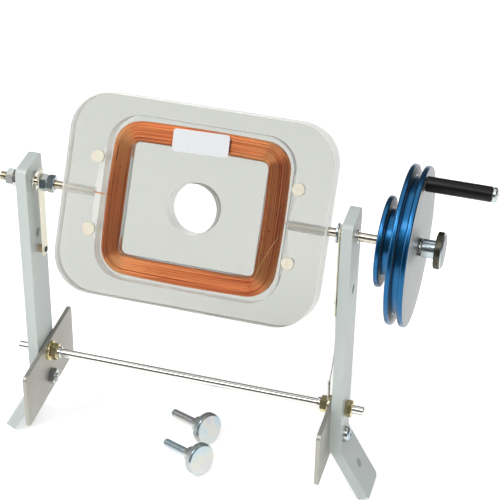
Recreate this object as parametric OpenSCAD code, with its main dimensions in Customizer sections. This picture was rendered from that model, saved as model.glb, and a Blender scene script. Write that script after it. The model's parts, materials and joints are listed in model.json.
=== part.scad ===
// Rotating induction coil: a flat coil sealed between two clear plates turns on two half shafts
// between a pair of bent flat-bar uprights. X runs along the shaft, Y to the back, Z up.
// The origin lies on the table, midway between the uprights, under the shaft.

/* [Uprights] */
// Clear width between the inner faces of the uprights
gap_w = 143; // [136:1:156]
// Thickness of the flat bar
bar_t = 5; // [4.5:0.5:7]
// Width of the flat bar, front to back
bar_w = 19; // [16:1:22]
// Corner radius at the top of the bar
top_corner_r = 3; // [2:0.5:7]
// Corner radius at the foot of the bar
foot_corner_r = 2.5; // [1.5:0.5:5]
// Angle by which the foot is bent outward
bend_deg = 29; // [20:1:38]
// Inside radius of the bend
bend_r = 4; // [2:0.5:8]
// Straight length of the foot beyond the bend
leg_len = 31; // [24:0.5:40]
// Height of the shaft above the start of the bend
axle_rise = 113.7; // [104:0.1:130]
// Bar left above the shaft
top_rise = 10.2; // [8:0.2:13]
// Distance of the side hole below the shaft
side_hole_drop = 28; // [22:1:31]
// Diameter of the side hole
side_hole_d = 4.4; // [4.2:0.1:5]
// Distance of the foot hole from the bend, along the foot
foot_hole_at = 15.6; // [12:0.1:18]
// Diameter of the foot hole
foot_hole_d = 4.4; // [4.2:0.1:5]

/* [Foot plates] */
// Width of a foot plate, front to back
fp_w = 60; // [40:1:80]
// Height of a foot plate
fp_h = 30; // [28:1:36]
// Thickness of a foot plate
fp_t = 2; // [1:0.1:2.5]
// Corner radius of a foot plate
fp_corner_r = 2.5; // [1:0.5:5]
// Middle of a foot plate above the start of the bend
fp_up = 7.2; // [6:0.1:8]
// Foot plate screw above the start of the bend
fp_screw_up = 0.8; // [0:0.1:4]
// Thread diameter of the foot plate screw
fp_screw_d = 4; // [3:0.5:4]
// Head diameter of the foot plate screw
fp_head_d = 7.5; // [6.5:0.5:8.5]
// Head height of the foot plate screw
fp_head_h = 3.4; // [2:0.2:3.8]
// Width across flats of the foot plate nut
fp_nut_af = 7; // [6.5:0.5:8]
// Thickness of the foot plate nut
fp_nut_t = 2.6; // [2.4:0.2:4]
// Length of thread past the foot plate nut
fp_screw_tip = 0.8; // [0.4:0.2:2]

/* [Tie rod] */
// Diameter of the tie rod
rod_d = 4; // [3:0.5:5]
// Height of the tie rod above the start of the bend
rod_up = 16.6; // [15.6:0.1:18]
// Length of rod that stands out past each upright
rod_out = 8.6; // [6:0.2:14]
// Width across flats of the inner rod nuts
rod_nut_af = 7; // [6.5:0.5:8]
// Thickness of the inner rod nuts
rod_nut_t = 3.2; // [2.4:0.2:4]
// Outside diameter of the washers behind them
rod_washer_d = 9.6; // [9:0.2:11]
// Thickness of these washers
rod_washer_t = 1.2; // [0.8:0.2:1.6]
// Diameter of the collars on the rod that the inner nuts rest on
rod_collar_d = 5.6; // [5.2:0.2:6.4]
// Length of a collar
rod_collar_len = 1.6; // [1:0.2:3]
// Width across flats of the outer rod nut
rod_out_nut_af = 7; // [6.5:0.5:8]
// Thickness of the outer rod nut
rod_out_nut_t = 3.2; // [2.4:0.2:4]
// Thickness of the solder tag
tag_t = 0.5; // [0.4:0.1:0.8]
// Width of the solder tag's tongue
tag_w = 3; // [2.4:0.2:4]
// Reach of the solder tag above the rod
tag_reach = 13; // [10:0.5:15]
// Diameter of the jumper wire
wire_d = 0.6; // [0.5:0.1:1.2]

/* [Contact springs] */
// Width of a contact spring
spring_w = 6; // [5.6:0.2:7]
// Thickness of a contact spring
spring_t = 0.5; // [0.3:0.1:0.8]
// Gap between the left spring and its upright
left_spring_gap = 2.8; // [2:0.1:3.2]
// Gap between the right spring and its upright
right_spring_gap = 1.9; // [1.7:0.1:3.2]
// Top of the left spring above the shaft
left_spring_up = 6.5; // [5:0.5:8]
// Top of the right spring above the shaft
right_spring_up = 3.5; // [3.5:0.5:8]
// Bottom of the left spring below the shaft
left_spring_down = 39.5; // [39:0.5:46]
// Bottom of the right spring below the shaft, where its wire starts
right_spring_down = 43.5; // [39:0.5:48]
// Screw of a spring below the shaft
spring_screw_drop = 37; // [36:0.5:37.5]
// Thread diameter of the spring screw
spring_screw_d = 1.6; // [1.2:0.2:2]
// Head diameter of the spring screw
spring_head_d = 2.6; // [2.4:0.2:3.2]
// Head height of the spring screw
spring_head_h = 0.6; // [0.6:0.2:1.4]

/* [Shaft and bushes] */
// Diameter of the half shafts
shaft_d = 4; // [3:0.5:5]
// Outside diameter of the bushes
bush_d = 6; // [5.6:0.2:8]
// Flange diameter of the bushes
flange_d = 9; // [8.4:0.2:11]
// Flange thickness of the bushes
flange_t = 1; // [0.8:0.1:1.3]
// Length of the right bush that stands out past its upright
bush_out = 1; // [0.6:0.2:2]
// Diameter of the plain washers
washer_d = 9; // [8.4:0.2:11]
// Thickness of the plain washers
washer_t = 0.8; // [0.6:0.1:1.2]
// Width across flats of the shaft nuts
nut_af = 7; // [6.5:0.5:8]
// Thickness of the shaft nuts
nut_t = 3.2; // [2.4:0.2:4]
// Length of left half shaft past its last nut
shaft_tail = 3.2; // [1:0.2:6]

/* [Coil plates] */
// Width of the clear plates
plate_w = 120; // [114:1:124]
// Height of the clear plates
plate_h = 90; // [86:1:110]
// Thickness of both plates together
plate_t = 12.5; // [11.5:0.5:16]
// Corner radius of the plates
plate_r = 18; // [10:1:24]
// Middle of the plates, right of the middle between the uprights
plate_off = 3.9; // [2:0.1:4.5]
// Lean of the plates to the back
rest_tilt = 28.7; // [0:0.1:60]
// Diameter of the hole through the middle of the plates
centre_hole_d = 22.5; // [16:0.5:30]
// Gap between the coil and the left half shaft
lead_gap_left = 6.1; // [5.5:0.1:10]
// Gap between the coil and the right half shaft
lead_gap_right = 2.8; // [2.4:0.1:6]
// Nylon screws from the sides of the coil
nylon_gap = 5.3; // [5.2:0.1:7.5]
// Nylon screws from the middle of the plates, across the shaft
nylon_y = 16.2; // [12:0.1:22]
// Head diameter of the nylon screws
nylon_head_d = 5.8; // [4.4:0.2:6]
// Head depth of the nylon screws
nylon_head_h = 2; // [1.6:0.2:3]
// Thread diameter of the nylon screws
nylon_d = 3; // [2.5:0.5:4]

/* [Coil] */
// Width over the coil
coil_w = 80.4; // [72:0.2:92]
// Height over the coil
coil_h = 69.4; // [64:0.2:72]
// Width of the winding band
coil_band = 9; // [8.6:0.2:10]
// Depth of the winding's core
core_t = 7; // [5:0.5:7.4]
// Corner radius over the coil
coil_r = 12; // [10.5:0.5:13]
// Loops drawn on each face of the coil
face_loops = 10; // [6:1:10]
// Diameter of the drawn wire
strand_d = 0.38; // [0.3:0.02:0.4]
// Room round the outside of the coil in its pocket
pocket_room = 2; // [1.6:0.1:2.2]
// Depth of the pocket in each plate
pocket_depth = 4.2; // [4.2:0.1:4.8]
// Diameter of the lead wires
lead_d = 0.6; // [0.5:0.1:0.8]

/* [Label] */
// Width of the bare label
label_w = 25.4; // [16:0.2:36]
// Height of the bare label
label_h = 10; // [6:0.5:12]
// Thickness of the bare label
label_t = 0.15; // [0.1:0.05:0.3]
// Middle of the label below the top of the plates
label_drop = 15.8; // [8:0.2:20]
// Turn of the label from straight
label_turn = 1.6; // [-5:0.1:5]

/* [Pulley] */
// Gap between the right upright and the small pulley
pulley_gap = 11.5; // [8:0.5:20]
// Diameter of the small flange
small_d = 40; // [34:1:50]
// Groove depth of the small pulley
small_depth = 5.4; // [3:0.2:8]
// Thickness of the small flange
small_flange_t = 2.3; // [1.6:0.1:4]
// Groove width of the small pulley
small_groove_w = 5.4; // [3:0.2:8]
// Diameter of the large flanges
large_d = 70; // [60:1:76]
// Groove depth of the large pulley
large_depth = 5; // [3:0.2:8]
// Thickness of the large pulley's inner flange
large_flange_t = 2.3; // [1.6:0.1:4]
// Groove width of the large pulley
large_groove_w = 3.4; // [2.4:0.2:6]
// Thickness of the large pulley's outer flange
large_face_t = 2.5; // [1.8:0.1:4]
// Bevel on the rims
rim_bevel = 0.4; // [0.2:0.1:0.8]

/* [Crank] */
// Distance of the crank grip's axis from the rim of the large pulley
crank_in = 4; // [4:0.5:12]
// Lean of the crank to the back, from straight up
crank_deg = 4.5; // [-180:0.5:180]
// Outside diameter of the grip
grip_d = 6.6; // [5:0.2:7.2]
// Length of the grip
grip_len = 27.7; // [20:0.5:40]
// Diameter of the crank pin
crank_pin_d = 3; // [2.5:0.5:4]
// Head height of the crank pin
crank_head_h = 2.2; // [1.4:0.2:3]

/* [Thumb screws] */
// Head diameter of the thumb screws and of the thumb nut
thumb_d = 16; // [13:0.5:20]
// Head thickness of the thumb screws and of the thumb nut
thumb_t = 3.5; // [2.5:0.5:5]
// Collar diameter under the head
collar_d = 8; // [7:0.5:10]
// Collar length under the head
collar_len = 6; // [4:0.5:8]
// Thread diameter of the thumb screws
thumb_thread_d = 4; // [3:0.5:4]
// Thread length of the thumb screws
thumb_len = 18.5; // [12:0.5:22]
// Ridges round the knurled heads
ridges = 36; // [24:4:48]
// Depth of the knurling
ridge_depth = 0.25; // [0.15:0.05:0.4]
// Thickness of the lock washer under the thumb nut
lock_t = 1.2; // [0.8:0.2:2]
// Outside diameter of the lock washer
lock_d = 8; // [7:0.5:10]

/* [Fits] */
// Radial clearance of the shaft in its bushes
run_clear = 0.04; // [0.02:0.01:0.08]
// Radial clearance of the shaft in a contact spring
rub_clear = 0.08; // [0.04:0.02:0.1]
// Radial clearance of clamped, threaded and pressed pieces
seat_clear = 0.02; // [0.01:0.01:0.04]
// Radial clearance of screws and rods in plain holes
hole_clear = 0.15; // [0.1:0.05:0.25]
// Axial gap between turning and fixed pieces
end_play = 0.3; // [0.2:0.05:0.5]

/* [Hidden] */
$fn = 64;

bar_grey = "#c9cfcc";
sheet_grey = "#a9a79f";
zinc = "#c4ccd2";
steel = "#d5d5d2";
brass = "#c9ab62";
nickel = "#dcd8c6";
clear_sheet = "#d3d5d0";
copper = "#b8704a";
nylon_cream = "#ece7d8";
blue = "#2b5f93";
black = "#1d1c1a";
fibre = "#8a6a48";
paper_white = "#f6f6f4";

// Cuts reach this far past the faces they open
over = 1;
// Hairline between two nuts that are jammed together
nut_line = 0.05;

in_face = gap_w / 2;
out_face = in_face + bar_t;
// The screw heads sit in a shallow spot face, which also clears the start of the bend
spot_depth = 0.2;
seat_x = out_face - spot_depth;
bend_z = (bend_r + bar_t) * sin(bend_deg) + leg_len * cos(bend_deg);
shaft_z = bend_z + axle_rise;
rod_z = bend_z + rod_up;
fp_z = bend_z + fp_up;
fp_face = in_face - fp_t;
fp_screw_z = bend_z + fp_screw_up;
left_spring_in = in_face - left_spring_gap - spring_t;
right_spring_in = in_face - right_spring_gap - spring_t;
// Both spring screws are alike and end inside the bars
spring_screw_len = out_face - 2 * over - max(left_spring_in, right_spring_in);
spring_screw_z = shaft_z - spring_screw_drop;
// The spacers behind the springs are as wide as their screws need
spring_spacer_d = 2.4 * spring_screw_d;
left_rub_x = left_spring_in - end_play;
right_rub_x = right_spring_in - end_play;
// Inner faces of the rod's washers and nuts; the tag lies between them on the right
rod_washer_x = fp_face - rod_washer_t;
left_collar_x = rod_washer_x - rod_nut_t;
right_collar_x = rod_washer_x - tag_t - rod_nut_t;

left_shaft_in = plate_off - coil_w / 2 - lead_gap_left;
right_shaft_in = plate_off + coil_w / 2 + lead_gap_right;
nylon_x = coil_w / 2 + nylon_gap;
stop_x = -(out_face + end_play);
stop_nut_x = stop_x - washer_t;
left_shaft_end = stop_nut_x - 2 * nut_t - nut_line - shaft_tail;

small_x = out_face + pulley_gap;
small_floor_x = small_x + small_flange_t;
large_x = small_floor_x + small_groove_w;
face_x = large_x + large_flange_t + large_groove_w + large_face_t;
thumb_x = face_x + lock_t;
crank_r = large_d / 2 - crank_in;
// The shaft fills this share of the thumb nut's height
thumb_grip = collar_len + thumb_t / 2;
grip_x = face_x + end_play;
crank_head_x = grip_x + grip_len + end_play;

// Height of the winding's middle plane over the middle of the plates
strand_gap = 0.1;
layer_z = core_t / 2 + strand_gap + strand_d / 2;
first_inset = strand_d / 2 + strand_gap;
last_inset = coil_band - strand_d / 2;
loop_pitch = (last_inset - first_inset) / face_loops;
// The core stops short of the inmost loop, which climbs from face to face there
core_band = last_inset - strand_d / 2 - 2 * strand_gap;
island_room = 0.3;
tail_len = strand_d * 2;
lead_run = 1.2;
lead_low = shaft_d / 4;
slot_w = 1.6;

// The sizes of the loose screws as they lie on the table
thumb_tilt = atan((thumb_d - thumb_thread_d) / 2 / (thumb_len + collar_len));
thumb_turn = -32;
thumb_back_at = [-15.3, 24.4];
thumb_front_at = [-12.4, 2.4];

// A round bar along X
module xrod(d, x0, x1, y = 0, z = 0)
    translate([x0, y, z]) rotate([0, 90, 0]) cylinder(d = d, h = x1 - x0);

// A hexagon along X with flats to the front and back; af is the width across flats
module xhex(af, x0, x1, y = 0, z = 0)
    translate([x0, y, z]) rotate([0, 90, 0]) cylinder(d = af / cos(30), h = x1 - x0, $fn = 6);

// A nut along X with a threaded hole for a rod of diameter d
module xnut(af, d, x0, x1, y = 0, z = 0)
    difference() {
        xhex(af, x0, x1, y, z);
        xrod(d + 2 * seat_clear, x0 - over, x1 + over, y, z);
    }

// A washer along X round a rod of diameter d
module xwasher(od, d, x0, x1, clear, y = 0, z = 0)
    difference() {
        xrod(od, x0, x1, y, z);
        xrod(d + 2 * clear, x0 - over, x1 + over, y, z);
    }

// A rectangle about the origin with round corners
module rounded(w, h, r) {
    square([w - 2 * r, h], center = true);
    square([w, h - 2 * r], center = true);
    for (sx = [-1, 1], sy = [-1, 1])
        translate([sx * (w / 2 - r), sy * (h / 2 - r)]) circle(r);
}

// Mirror image on the left, or the piece itself on the right
module side(s) mirror([s < 0 ? 1 : 0, 0, 0]) children();

// The flat of the bar from x = 0, with round corners at its far end
module bar_blade(len, r) {
    translate([0, -bar_w / 2]) square([len - r, bar_w]);
    translate([len - 2 * r, -bar_w / 2 + r]) square([2 * r, bar_w - 2 * r]);
    for (sy = [-1, 1]) translate([len - r, sy * (bar_w / 2 - r)]) circle(r);
}

// The bar seen from the front: straight, then round the bend and along the foot, past both ends
bend_steps = 12;
bend_x = out_face + bend_r;
function bend_spot(r, step) =
    let (a = 180 + bend_deg * step / bend_steps) [bend_x + r * cos(a), bend_z + r * sin(a)];
function foot_spot(r) =
    bend_spot(r, bend_steps) + (leg_len + over) * [sin(bend_deg), -cos(bend_deg)];
bar_side = concat(
    [[in_face, shaft_z + top_rise + over]],
    [for (i = [0 : bend_steps]) bend_spot(bend_r + bar_t, i)],
    [foot_spot(bend_r + bar_t), foot_spot(bend_r)],
    [for (i = [bend_steps : -1 : 0]) bend_spot(bend_r, i)],
    [[out_face, shaft_z + top_rise + over]]);
// Longer than the whole bar
reach = axle_rise + top_rise + leg_len + bend_z;

// The right upright, with round corners at both ends and with its holes
module upright(rod_hole_d) difference() {
    intersection() {
        translate([0, bar_w, 0]) rotate([90, 0, 0]) linear_extrude(2 * bar_w) polygon(bar_side);
        translate([reach, 0, -over]) rotate([0, -90, 0])
            linear_extrude(reach) bar_blade(shaft_z + top_rise + over, top_corner_r);
        translate([bend_x, 0, bend_z]) rotate([90, 0, 0]) rotate([0, 0, 180 + bend_deg])
            translate([-reach, -reach, 0]) rotate([90, 0, 90])
                linear_extrude(2 * reach) bar_blade(leg_len + reach, foot_corner_r);
    }
    xrod(bush_d + 2 * seat_clear, in_face - over, out_face + over, 0, shaft_z);
    xrod(side_hole_d, in_face - over, out_face + over, 0, shaft_z - side_hole_drop);
    xrod(rod_hole_d, in_face - over, out_face + over, 0, rod_z);
    xrod(fp_screw_d + 2 * hole_clear, in_face - over, out_face + over, 0, fp_screw_z);
    xrod(fp_head_d + 2 * hole_clear, seat_x, out_face + leg_len, 0, fp_screw_z);
    xrod(spring_screw_d + 2 * seat_clear, in_face - over, in_face + bar_t - over, 0, spring_screw_z);
    translate([bend_x, 0, bend_z]) rotate([90, 0, 0]) rotate([0, 0, 180 + bend_deg])
        translate([bend_r - over, foot_hole_at, 0]) rotate([0, 90, 0])
            cylinder(d = foot_hole_d, h = bar_t + 2 * over);
}

// A thin upright plate on the inner face of the right upright
module foot_plate() difference() {
    translate([fp_face, 0, fp_z]) rotate([90, 0, 90]) linear_extrude(fp_t)
        rounded(fp_w, fp_h, fp_corner_r);
    xrod(rod_d + 2 * hole_clear, fp_face - over, in_face + over, 0, rod_z);
    xrod(fp_screw_d + 2 * hole_clear, fp_face - over, in_face + over, 0, fp_screw_z);
}

// Pan head with a cross recess on the outside, thread through bar, plate and nut
module plate_screw() difference() {
    union() {
        translate([seat_x, 0, fp_screw_z]) turned([[0, 0], [fp_head_d / 2, 0], [fp_head_d / 2, fp_head_h / 2],
            [fp_head_d / 2.6, fp_head_h * 0.85], [fp_head_d / 4, fp_head_h], [0, fp_head_h]]);
        xrod(fp_screw_d, fp_face - fp_nut_t - fp_screw_tip, seat_x + over, 0, fp_screw_z);
    }
    for (turn = [45, 135]) translate([seat_x + fp_head_h * 0.5, 0, fp_screw_z]) rotate([turn, 0, 0])
        translate([0, -fp_head_d / 4, -fp_head_d / 16]) cube([fp_head_h, fp_head_d / 2, fp_head_d / 8]);
}

// The blade of a contact spring from its inner face, with holes for shaft and screw
module contact_spring(x, up, down) difference() {
    translate([x, 0, shaft_z + (up - down) / 2]) rotate([90, 0, 90])
        linear_extrude(spring_t) rounded(spring_w, up + down, spring_w / 5);
    xrod(shaft_d + 2 * rub_clear, x - over, x + spring_t + over, 0, shaft_z);
    xrod(spring_screw_d + 2 * hole_clear, x - over, x + spring_t + over, 0, spring_screw_z);
}

module spring_spacer(x)
    xwasher(spring_spacer_d, spring_screw_d, x + spring_t, in_face, hole_clear, 0, spring_screw_z);

module spring_screw(x) difference() {
    union() {
        xrod(spring_head_d, x - spring_head_h, x, 0, spring_screw_z);
        xrod(spring_screw_d, x - spring_head_h / 2, x + spring_screw_len, 0, spring_screw_z);
    }
    translate([x - spring_head_h * 1.4, -spring_head_d / 2, spring_screw_z - spring_head_d / 12])
        cube([spring_head_h, spring_head_d, spring_head_d / 6]);
}

// One outline for the rings of a tube along points; sides lie round normal and the given up vector
function unit(v) = v / norm(v);
function heading(pts, i) =
    let (a = i > 0 ? unit(pts[i] - pts[i - 1]) : [0, 0, 0])
    let (b = i < len(pts) - 1 ? unit(pts[i + 1] - pts[i]) : [0, 0, 0])
    unit(a + b);
// How much a ring stretches across a corner so that the tube keeps its width
function miter(pts, i) =
    i == 0 || i == len(pts) - 1 ? 1
    : 1 / norm(unit(pts[i] - pts[i - 1]) + unit(pts[i + 1] - pts[i])) * 2;

module tube(pts, d, sides, up) {
    rings = [for (i = [0 : len(pts) - 1])
        let (t = heading(pts, i), n = unit(cross(up, t)), b = cross(t, n), m = miter(pts, i))
        for (k = [0 : sides - 1])
            pts[i] + d / 2 * (m * n * cos(360 * k / sides) + b * sin(360 * k / sides))];
    last = len(pts) - 1;
    walls = [for (i = [0 : last - 1], k = [0 : sides - 1])
        let (a = i * sides + k, b = i * sides + (k + 1) % sides)
        each [[a, b, a + sides], [b, b + sides, a + sides]]];
    start_cap = [for (k = [1 : sides - 2]) [0, k + 1, k]];
    end_cap = [for (k = [1 : sides - 2]) [last * sides, last * sides + k, last * sides + k + 1]];
    polyhedron(points = rings, faces = concat(walls, start_cap, end_cap), convexity = 10);
}

// Wire from the foot of the right spring to the top of the solder tag
module jumper() {
    top = [right_spring_in + spring_t / 2, 0, shaft_z - right_spring_down];
    foot = [rod_washer_x - tag_t / 2, 0, rod_z + tag_reach];
    fall = top.z - foot.z;
    bow = right_spring_gap / 2;
    steps = 8;
    free = [for (i = [1 : steps - 1])
        top + (foot - top) * i / steps + [bow * sin(180 * i / steps), 0, 0]];
    tube(concat([top, top - [0, 0, fall / 20]], free, [foot + [0, 0, fall / 20], foot]),
        wire_d, 8, [0, 1, 0]);
}

// Places a piece that is drawn flat, with the shaft along x, into the leaning plates
module in_plate() translate([plate_off, 0, shaft_z]) rotate([90 - rest_tilt, 0, 0]) children();

// One clear plate from its inner face up; the front one has the screw heads and the left lead
module clear_plate(front) {
    half = plate_t / 2;
    lead_side = front ? -1 : 1;
    shaft_in = front ? left_shaft_in - plate_off : right_shaft_in - plate_off;
    difference() {
        linear_extrude(half) rounded(plate_w, plate_h, plate_r);
        translate([0, 0, -over]) linear_extrude(pocket_depth + over) difference() {
            rounded(coil_w + 2 * pocket_room, coil_h + 2 * pocket_room, coil_r + pocket_room);
            rounded(coil_w - 2 * coil_band - 2 * island_room, coil_h - 2 * coil_band - 2 * island_room,
                coil_r - coil_band);
        }
        translate([0, 0, -over]) cylinder(d = centre_hole_d, h = half + 2 * over);
        xrod(shaft_d + 2 * seat_clear, -plate_w / 2 - over, left_shaft_in - plate_off);
        xrod(shaft_d + 2 * seat_clear, right_shaft_in - plate_off, plate_w / 2 + over);
        slot_in = lead_side * (coil_w / 2 + pocket_room / 2);
        translate([min(slot_in, shaft_in), -slot_w / 2, -over])
            cube([abs(slot_in - shaft_in), slot_w, pocket_depth + over]);
        for (sx = [-1, 1], sy = [-1, 1]) translate([sx * nylon_x, sy * nylon_y, 0]) {
            translate([0, 0, -over]) cylinder(d = nylon_d + 2 * seat_clear, h = half + 2 * over);
            if (front) translate([0, 0, half - nylon_head_h])
                cylinder(d = nylon_head_d + 2 * seat_clear, h = nylon_head_h + over);
        }
    }
}

module nylon_screw() difference() {
    union() {
        translate([0, 0, plate_t / 2 - nylon_head_h]) cylinder(d = nylon_head_d, h = nylon_head_h);
        translate([0, 0, -plate_t / 2]) cylinder(d = nylon_d, h = plate_t - nylon_head_h / 2);
    }
    translate([-nylon_head_d / 2, -nylon_head_d / 12, plate_t / 2 - nylon_head_h / 3])
        cube([nylon_head_d, nylon_head_d / 6, nylon_head_h]);
}

// Points of the winding: in along the front face, a climb in half a turn, out along the back
rings_per_loop = 24;
corner_rings = rings_per_loop / 4;
climb_rings = rings_per_loop / 2;
face_rings = face_loops * rings_per_loop;
function strand_inset(i) =
    i <= face_rings ? first_inset + loop_pitch * i / rings_per_loop
    : i <= face_rings + climb_rings ? last_inset
    : last_inset - loop_pitch * (i - face_rings - climb_rings) / rings_per_loop;
function strand_z(i) =
    i <= face_rings ? layer_z
    : i <= face_rings + climb_rings ? layer_z * (1 - 2 * (i - face_rings) / climb_rings)
    : -layer_z;
// Ring i of a loop: six rings round each corner, left side first and then over the top
function strand_point(i) =
    let (o = strand_inset(i + 0.5), k = i % rings_per_loop)
    let (corner = floor(k / corner_rings), part = k % corner_rings)
    let (a = 180 - 90 * corner - 90 * part / (corner_rings - 1), r = coil_r - o)
    let (sx = corner == 0 || corner == 3 ? -1 : 1, sy = corner < 2 ? 1 : -1)
    [sx * (coil_w / 2 - coil_r) + r * cos(a), sy * (coil_h / 2 - coil_r) + r * sin(a), strand_z(i + 0.5)];
strand_rings = 2 * face_rings + climb_rings;
strand_side = coil_w / 2 - first_inset;
strand_start = [[-strand_side - tail_len, 0, layer_z], [-strand_side, 0, layer_z]];
strand_end = [[strand_side, 0, -layer_z], [strand_side + tail_len, 0, -layer_z]];
strand_points = concat(strand_start, [for (i = [0 : strand_rings - 1]) strand_point(i)], strand_end);
// Least distance between points that lie at least half a loop apart, less the wire itself
function least_gap(pts, apart) =
    min([for (i = [0 : len(pts) - apart - 1], j = [i + apart : len(pts) - 1])
        norm(pts[i] - pts[j])]) - strand_d;

// One lead: from the winding's end, down the slot and straight to the half shaft
module lead(s, shaft_in) {
    from = s * (strand_side + tail_len);
    tube([[from, 0, -s * layer_z], [from + s * lead_run / 2, 0, -s * layer_z],
        [shaft_in - s * lead_run / 2, 0, -s * lead_low], [shaft_in, 0, -s * lead_low]],
        lead_d, 8, [0, 1, 0]);
}

// A turned disc along X from a half profile of [radius, place] points
module turned(points) rotate([90, 0, 90]) rotate_extrude() polygon(points);

// The profile of one flange with bevelled rims between x0 and x1
function flange_points(r, x0, x1) =
    [[r - rim_bevel, x0], [r, x0 + rim_bevel], [r, x1 - rim_bevel], [r - rim_bevel, x1]];

// A knurled disc of thickness h along X, with bevelled edges
module knurled(d, h) intersection() {
    rotate([90, 0, 90]) linear_extrude(h)
        polygon([for (i = [0 : 2 * ridges - 1])
            let (r = d / 2 - (i % 2) * ridge_depth, a = 180 * i / ridges) [r * cos(a), r * sin(a)]]);
    turned([[0, 0], [d / 2 - ridge_depth, 0], [d / 2 + over, ridge_depth + over],
        [d / 2 + over, h - ridge_depth - over], [d / 2 - ridge_depth, h], [0, h]]);
}

module thumb_screw(at) translate([at.x, at.y, thumb_thread_d / 2 * cos(thumb_tilt)])
    rotate([0, 0, thumb_turn]) rotate([0, -thumb_tilt, 0]) {
        xrod(thumb_thread_d, 0, thumb_len + collar_len / 2);
        xrod(collar_d, thumb_len, thumb_len + collar_len);
        translate([thumb_len + collar_len, 0, 0]) knurled(thumb_d, thumb_t);
    }

module left_upright() color(bar_grey) side(-1) upright(rod_d + 2 * seat_clear);
module right_upright() color(bar_grey) side(1) upright(rod_d + 2 * hole_clear);
module left_foot_plate() color(sheet_grey) side(-1) foot_plate();
module right_foot_plate() color(sheet_grey) side(1) foot_plate();
module plate_screws() color(zinc) for (s = [-1, 1]) side(s) plate_screw();
module plate_nuts() color(zinc) for (s = [-1, 1])
    side(s) xnut(fp_nut_af, fp_screw_d, fp_face - fp_nut_t, fp_face, 0, fp_screw_z);
module tie_rod() color(steel) {
    xrod(rod_d, -out_face - rod_out, out_face + rod_out, 0, rod_z);
    xrod(rod_collar_d, -left_collar_x, -left_collar_x + rod_collar_len, 0, rod_z);
    xrod(rod_collar_d, right_collar_x - rod_collar_len, right_collar_x, 0, rod_z);
}
module rod_inner_nuts() color(brass) {
    xnut(rod_nut_af, rod_d, -rod_washer_x, -left_collar_x, 0, rod_z);
    xnut(rod_nut_af, rod_d, right_collar_x, rod_washer_x - tag_t, 0, rod_z);
}
module rod_washers() color(brass) for (s = [-1, 1]) side(s)
    xwasher(rod_washer_d, rod_d, rod_washer_x, fp_face, hole_clear, 0, rod_z);
module rod_outer_nut() color(brass)
    xnut(rod_out_nut_af, rod_d, out_face, out_face + rod_out_nut_t, 0, rod_z);
// The tag's ring and tongue lie flat between the right washer and its nut
module solder_tag() color(nickel) difference() {
    union() {
        xrod(rod_nut_af, rod_washer_x - tag_t, rod_washer_x, 0, rod_z);
        translate([rod_washer_x - tag_t, -tag_w / 2, rod_z]) cube([tag_t, tag_w, tag_reach]);
    }
    xrod(rod_d + 2 * hole_clear, rod_washer_x - tag_t - over, rod_washer_x + over, 0, rod_z);
    xrod(tag_w / 2, rod_washer_x - tag_t - over, rod_washer_x + over, 0, rod_z + tag_reach - tag_w);
}
module jumper_wire() color(steel) jumper();
module left_spring() color(nickel) side(-1)
    contact_spring(left_spring_in, left_spring_up, left_spring_down);
module right_spring() color(nickel) side(1)
    contact_spring(right_spring_in, right_spring_up, right_spring_down);
module spring_spacers() color(fibre) {
    side(-1) spring_spacer(left_spring_in);
    side(1) spring_spacer(right_spring_in);
}
module spring_screws() color(zinc) {
    side(-1) spring_screw(left_spring_in);
    side(1) spring_screw(right_spring_in);
}
module left_bush() color(steel) side(-1) bush(0);
module right_bush() color(steel) side(1) bush(bush_out);
// Flanged bush in the right upright, standing out by the given length
module bush(out) difference() {
    union() {
        xrod(bush_d, in_face - flange_t / 2, out_face + out, 0, shaft_z);
        xrod(flange_d, in_face - flange_t, in_face, 0, shaft_z);
    }
    xrod(shaft_d + 2 * run_clear, in_face - flange_t - over, out_face + out + over, 0, shaft_z);
}
module left_half_shaft() color(brass) xrod(shaft_d, left_shaft_end, left_shaft_in, 0, shaft_z);
module right_half_shaft() color(brass)
    xrod(shaft_d, right_shaft_in, thumb_x + thumb_grip, 0, shaft_z);
module stop_washer() color(zinc)
    xwasher(washer_d, shaft_d, stop_nut_x, stop_x, seat_clear, 0, shaft_z);
module stop_nuts() color(zinc) for (i = [0, 1]) {
    x = stop_nut_x - i * (nut_t + nut_line);
    xnut(nut_af, shaft_d, x - nut_t, x, 0, shaft_z);
}
module rub_nuts() color(zinc) for (i = [0, 1]) {
    x = -left_rub_x + i * (nut_t + nut_line);
    xnut(nut_af, shaft_d, x, x + nut_t, 0, shaft_z);
}
module rub_washer() color(zinc)
    xwasher(washer_d, shaft_d, right_rub_x - washer_t, right_rub_x, seat_clear, 0, shaft_z);
module front_plate() color(clear_sheet, 0.45) in_plate() clear_plate(true);
module back_plate() color(clear_sheet, 0.45) in_plate() mirror([0, 0, 1]) clear_plate(false);
module nylon_screws() color(nylon_cream) in_plate()
    for (sx = [-1, 1], sy = [-1, 1]) translate([sx * nylon_x, sy * nylon_y, 0]) nylon_screw();
module coil_core() color(copper) in_plate()
    translate([0, 0, -core_t / 2]) linear_extrude(core_t) difference() {
        rounded(coil_w, coil_h, coil_r);
        rounded(coil_w - 2 * core_band, coil_h - 2 * core_band, coil_r - core_band);
    }
module coil_winding() color(copper) {
    echo(least_gap_of_the_winding_mm = least_gap(strand_points, climb_rings));
    in_plate() tube(strand_points, strand_d, 6, [0, 0, 1]);
}
module coil_leads() color(copper) in_plate() {
    lead(-1, left_shaft_in - plate_off);
    lead(1, right_shaft_in - plate_off);
}
module label() color(paper_white) in_plate()
    translate([0, plate_h / 2 - label_drop, plate_t / 2]) rotate(label_turn) linear_extrude(label_t)
        rounded(label_w, label_h, label_h / 7);
module small_pulley() color(blue) translate([0, 0, shaft_z]) turned(concat(
    [[shaft_d / 2 + seat_clear, small_x]],
    flange_points(small_d / 2, small_x, small_floor_x),
    [[small_d / 2 - small_depth, small_floor_x], [small_d / 2 - small_depth, large_x],
        [shaft_d / 2 + seat_clear, large_x]]));
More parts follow.
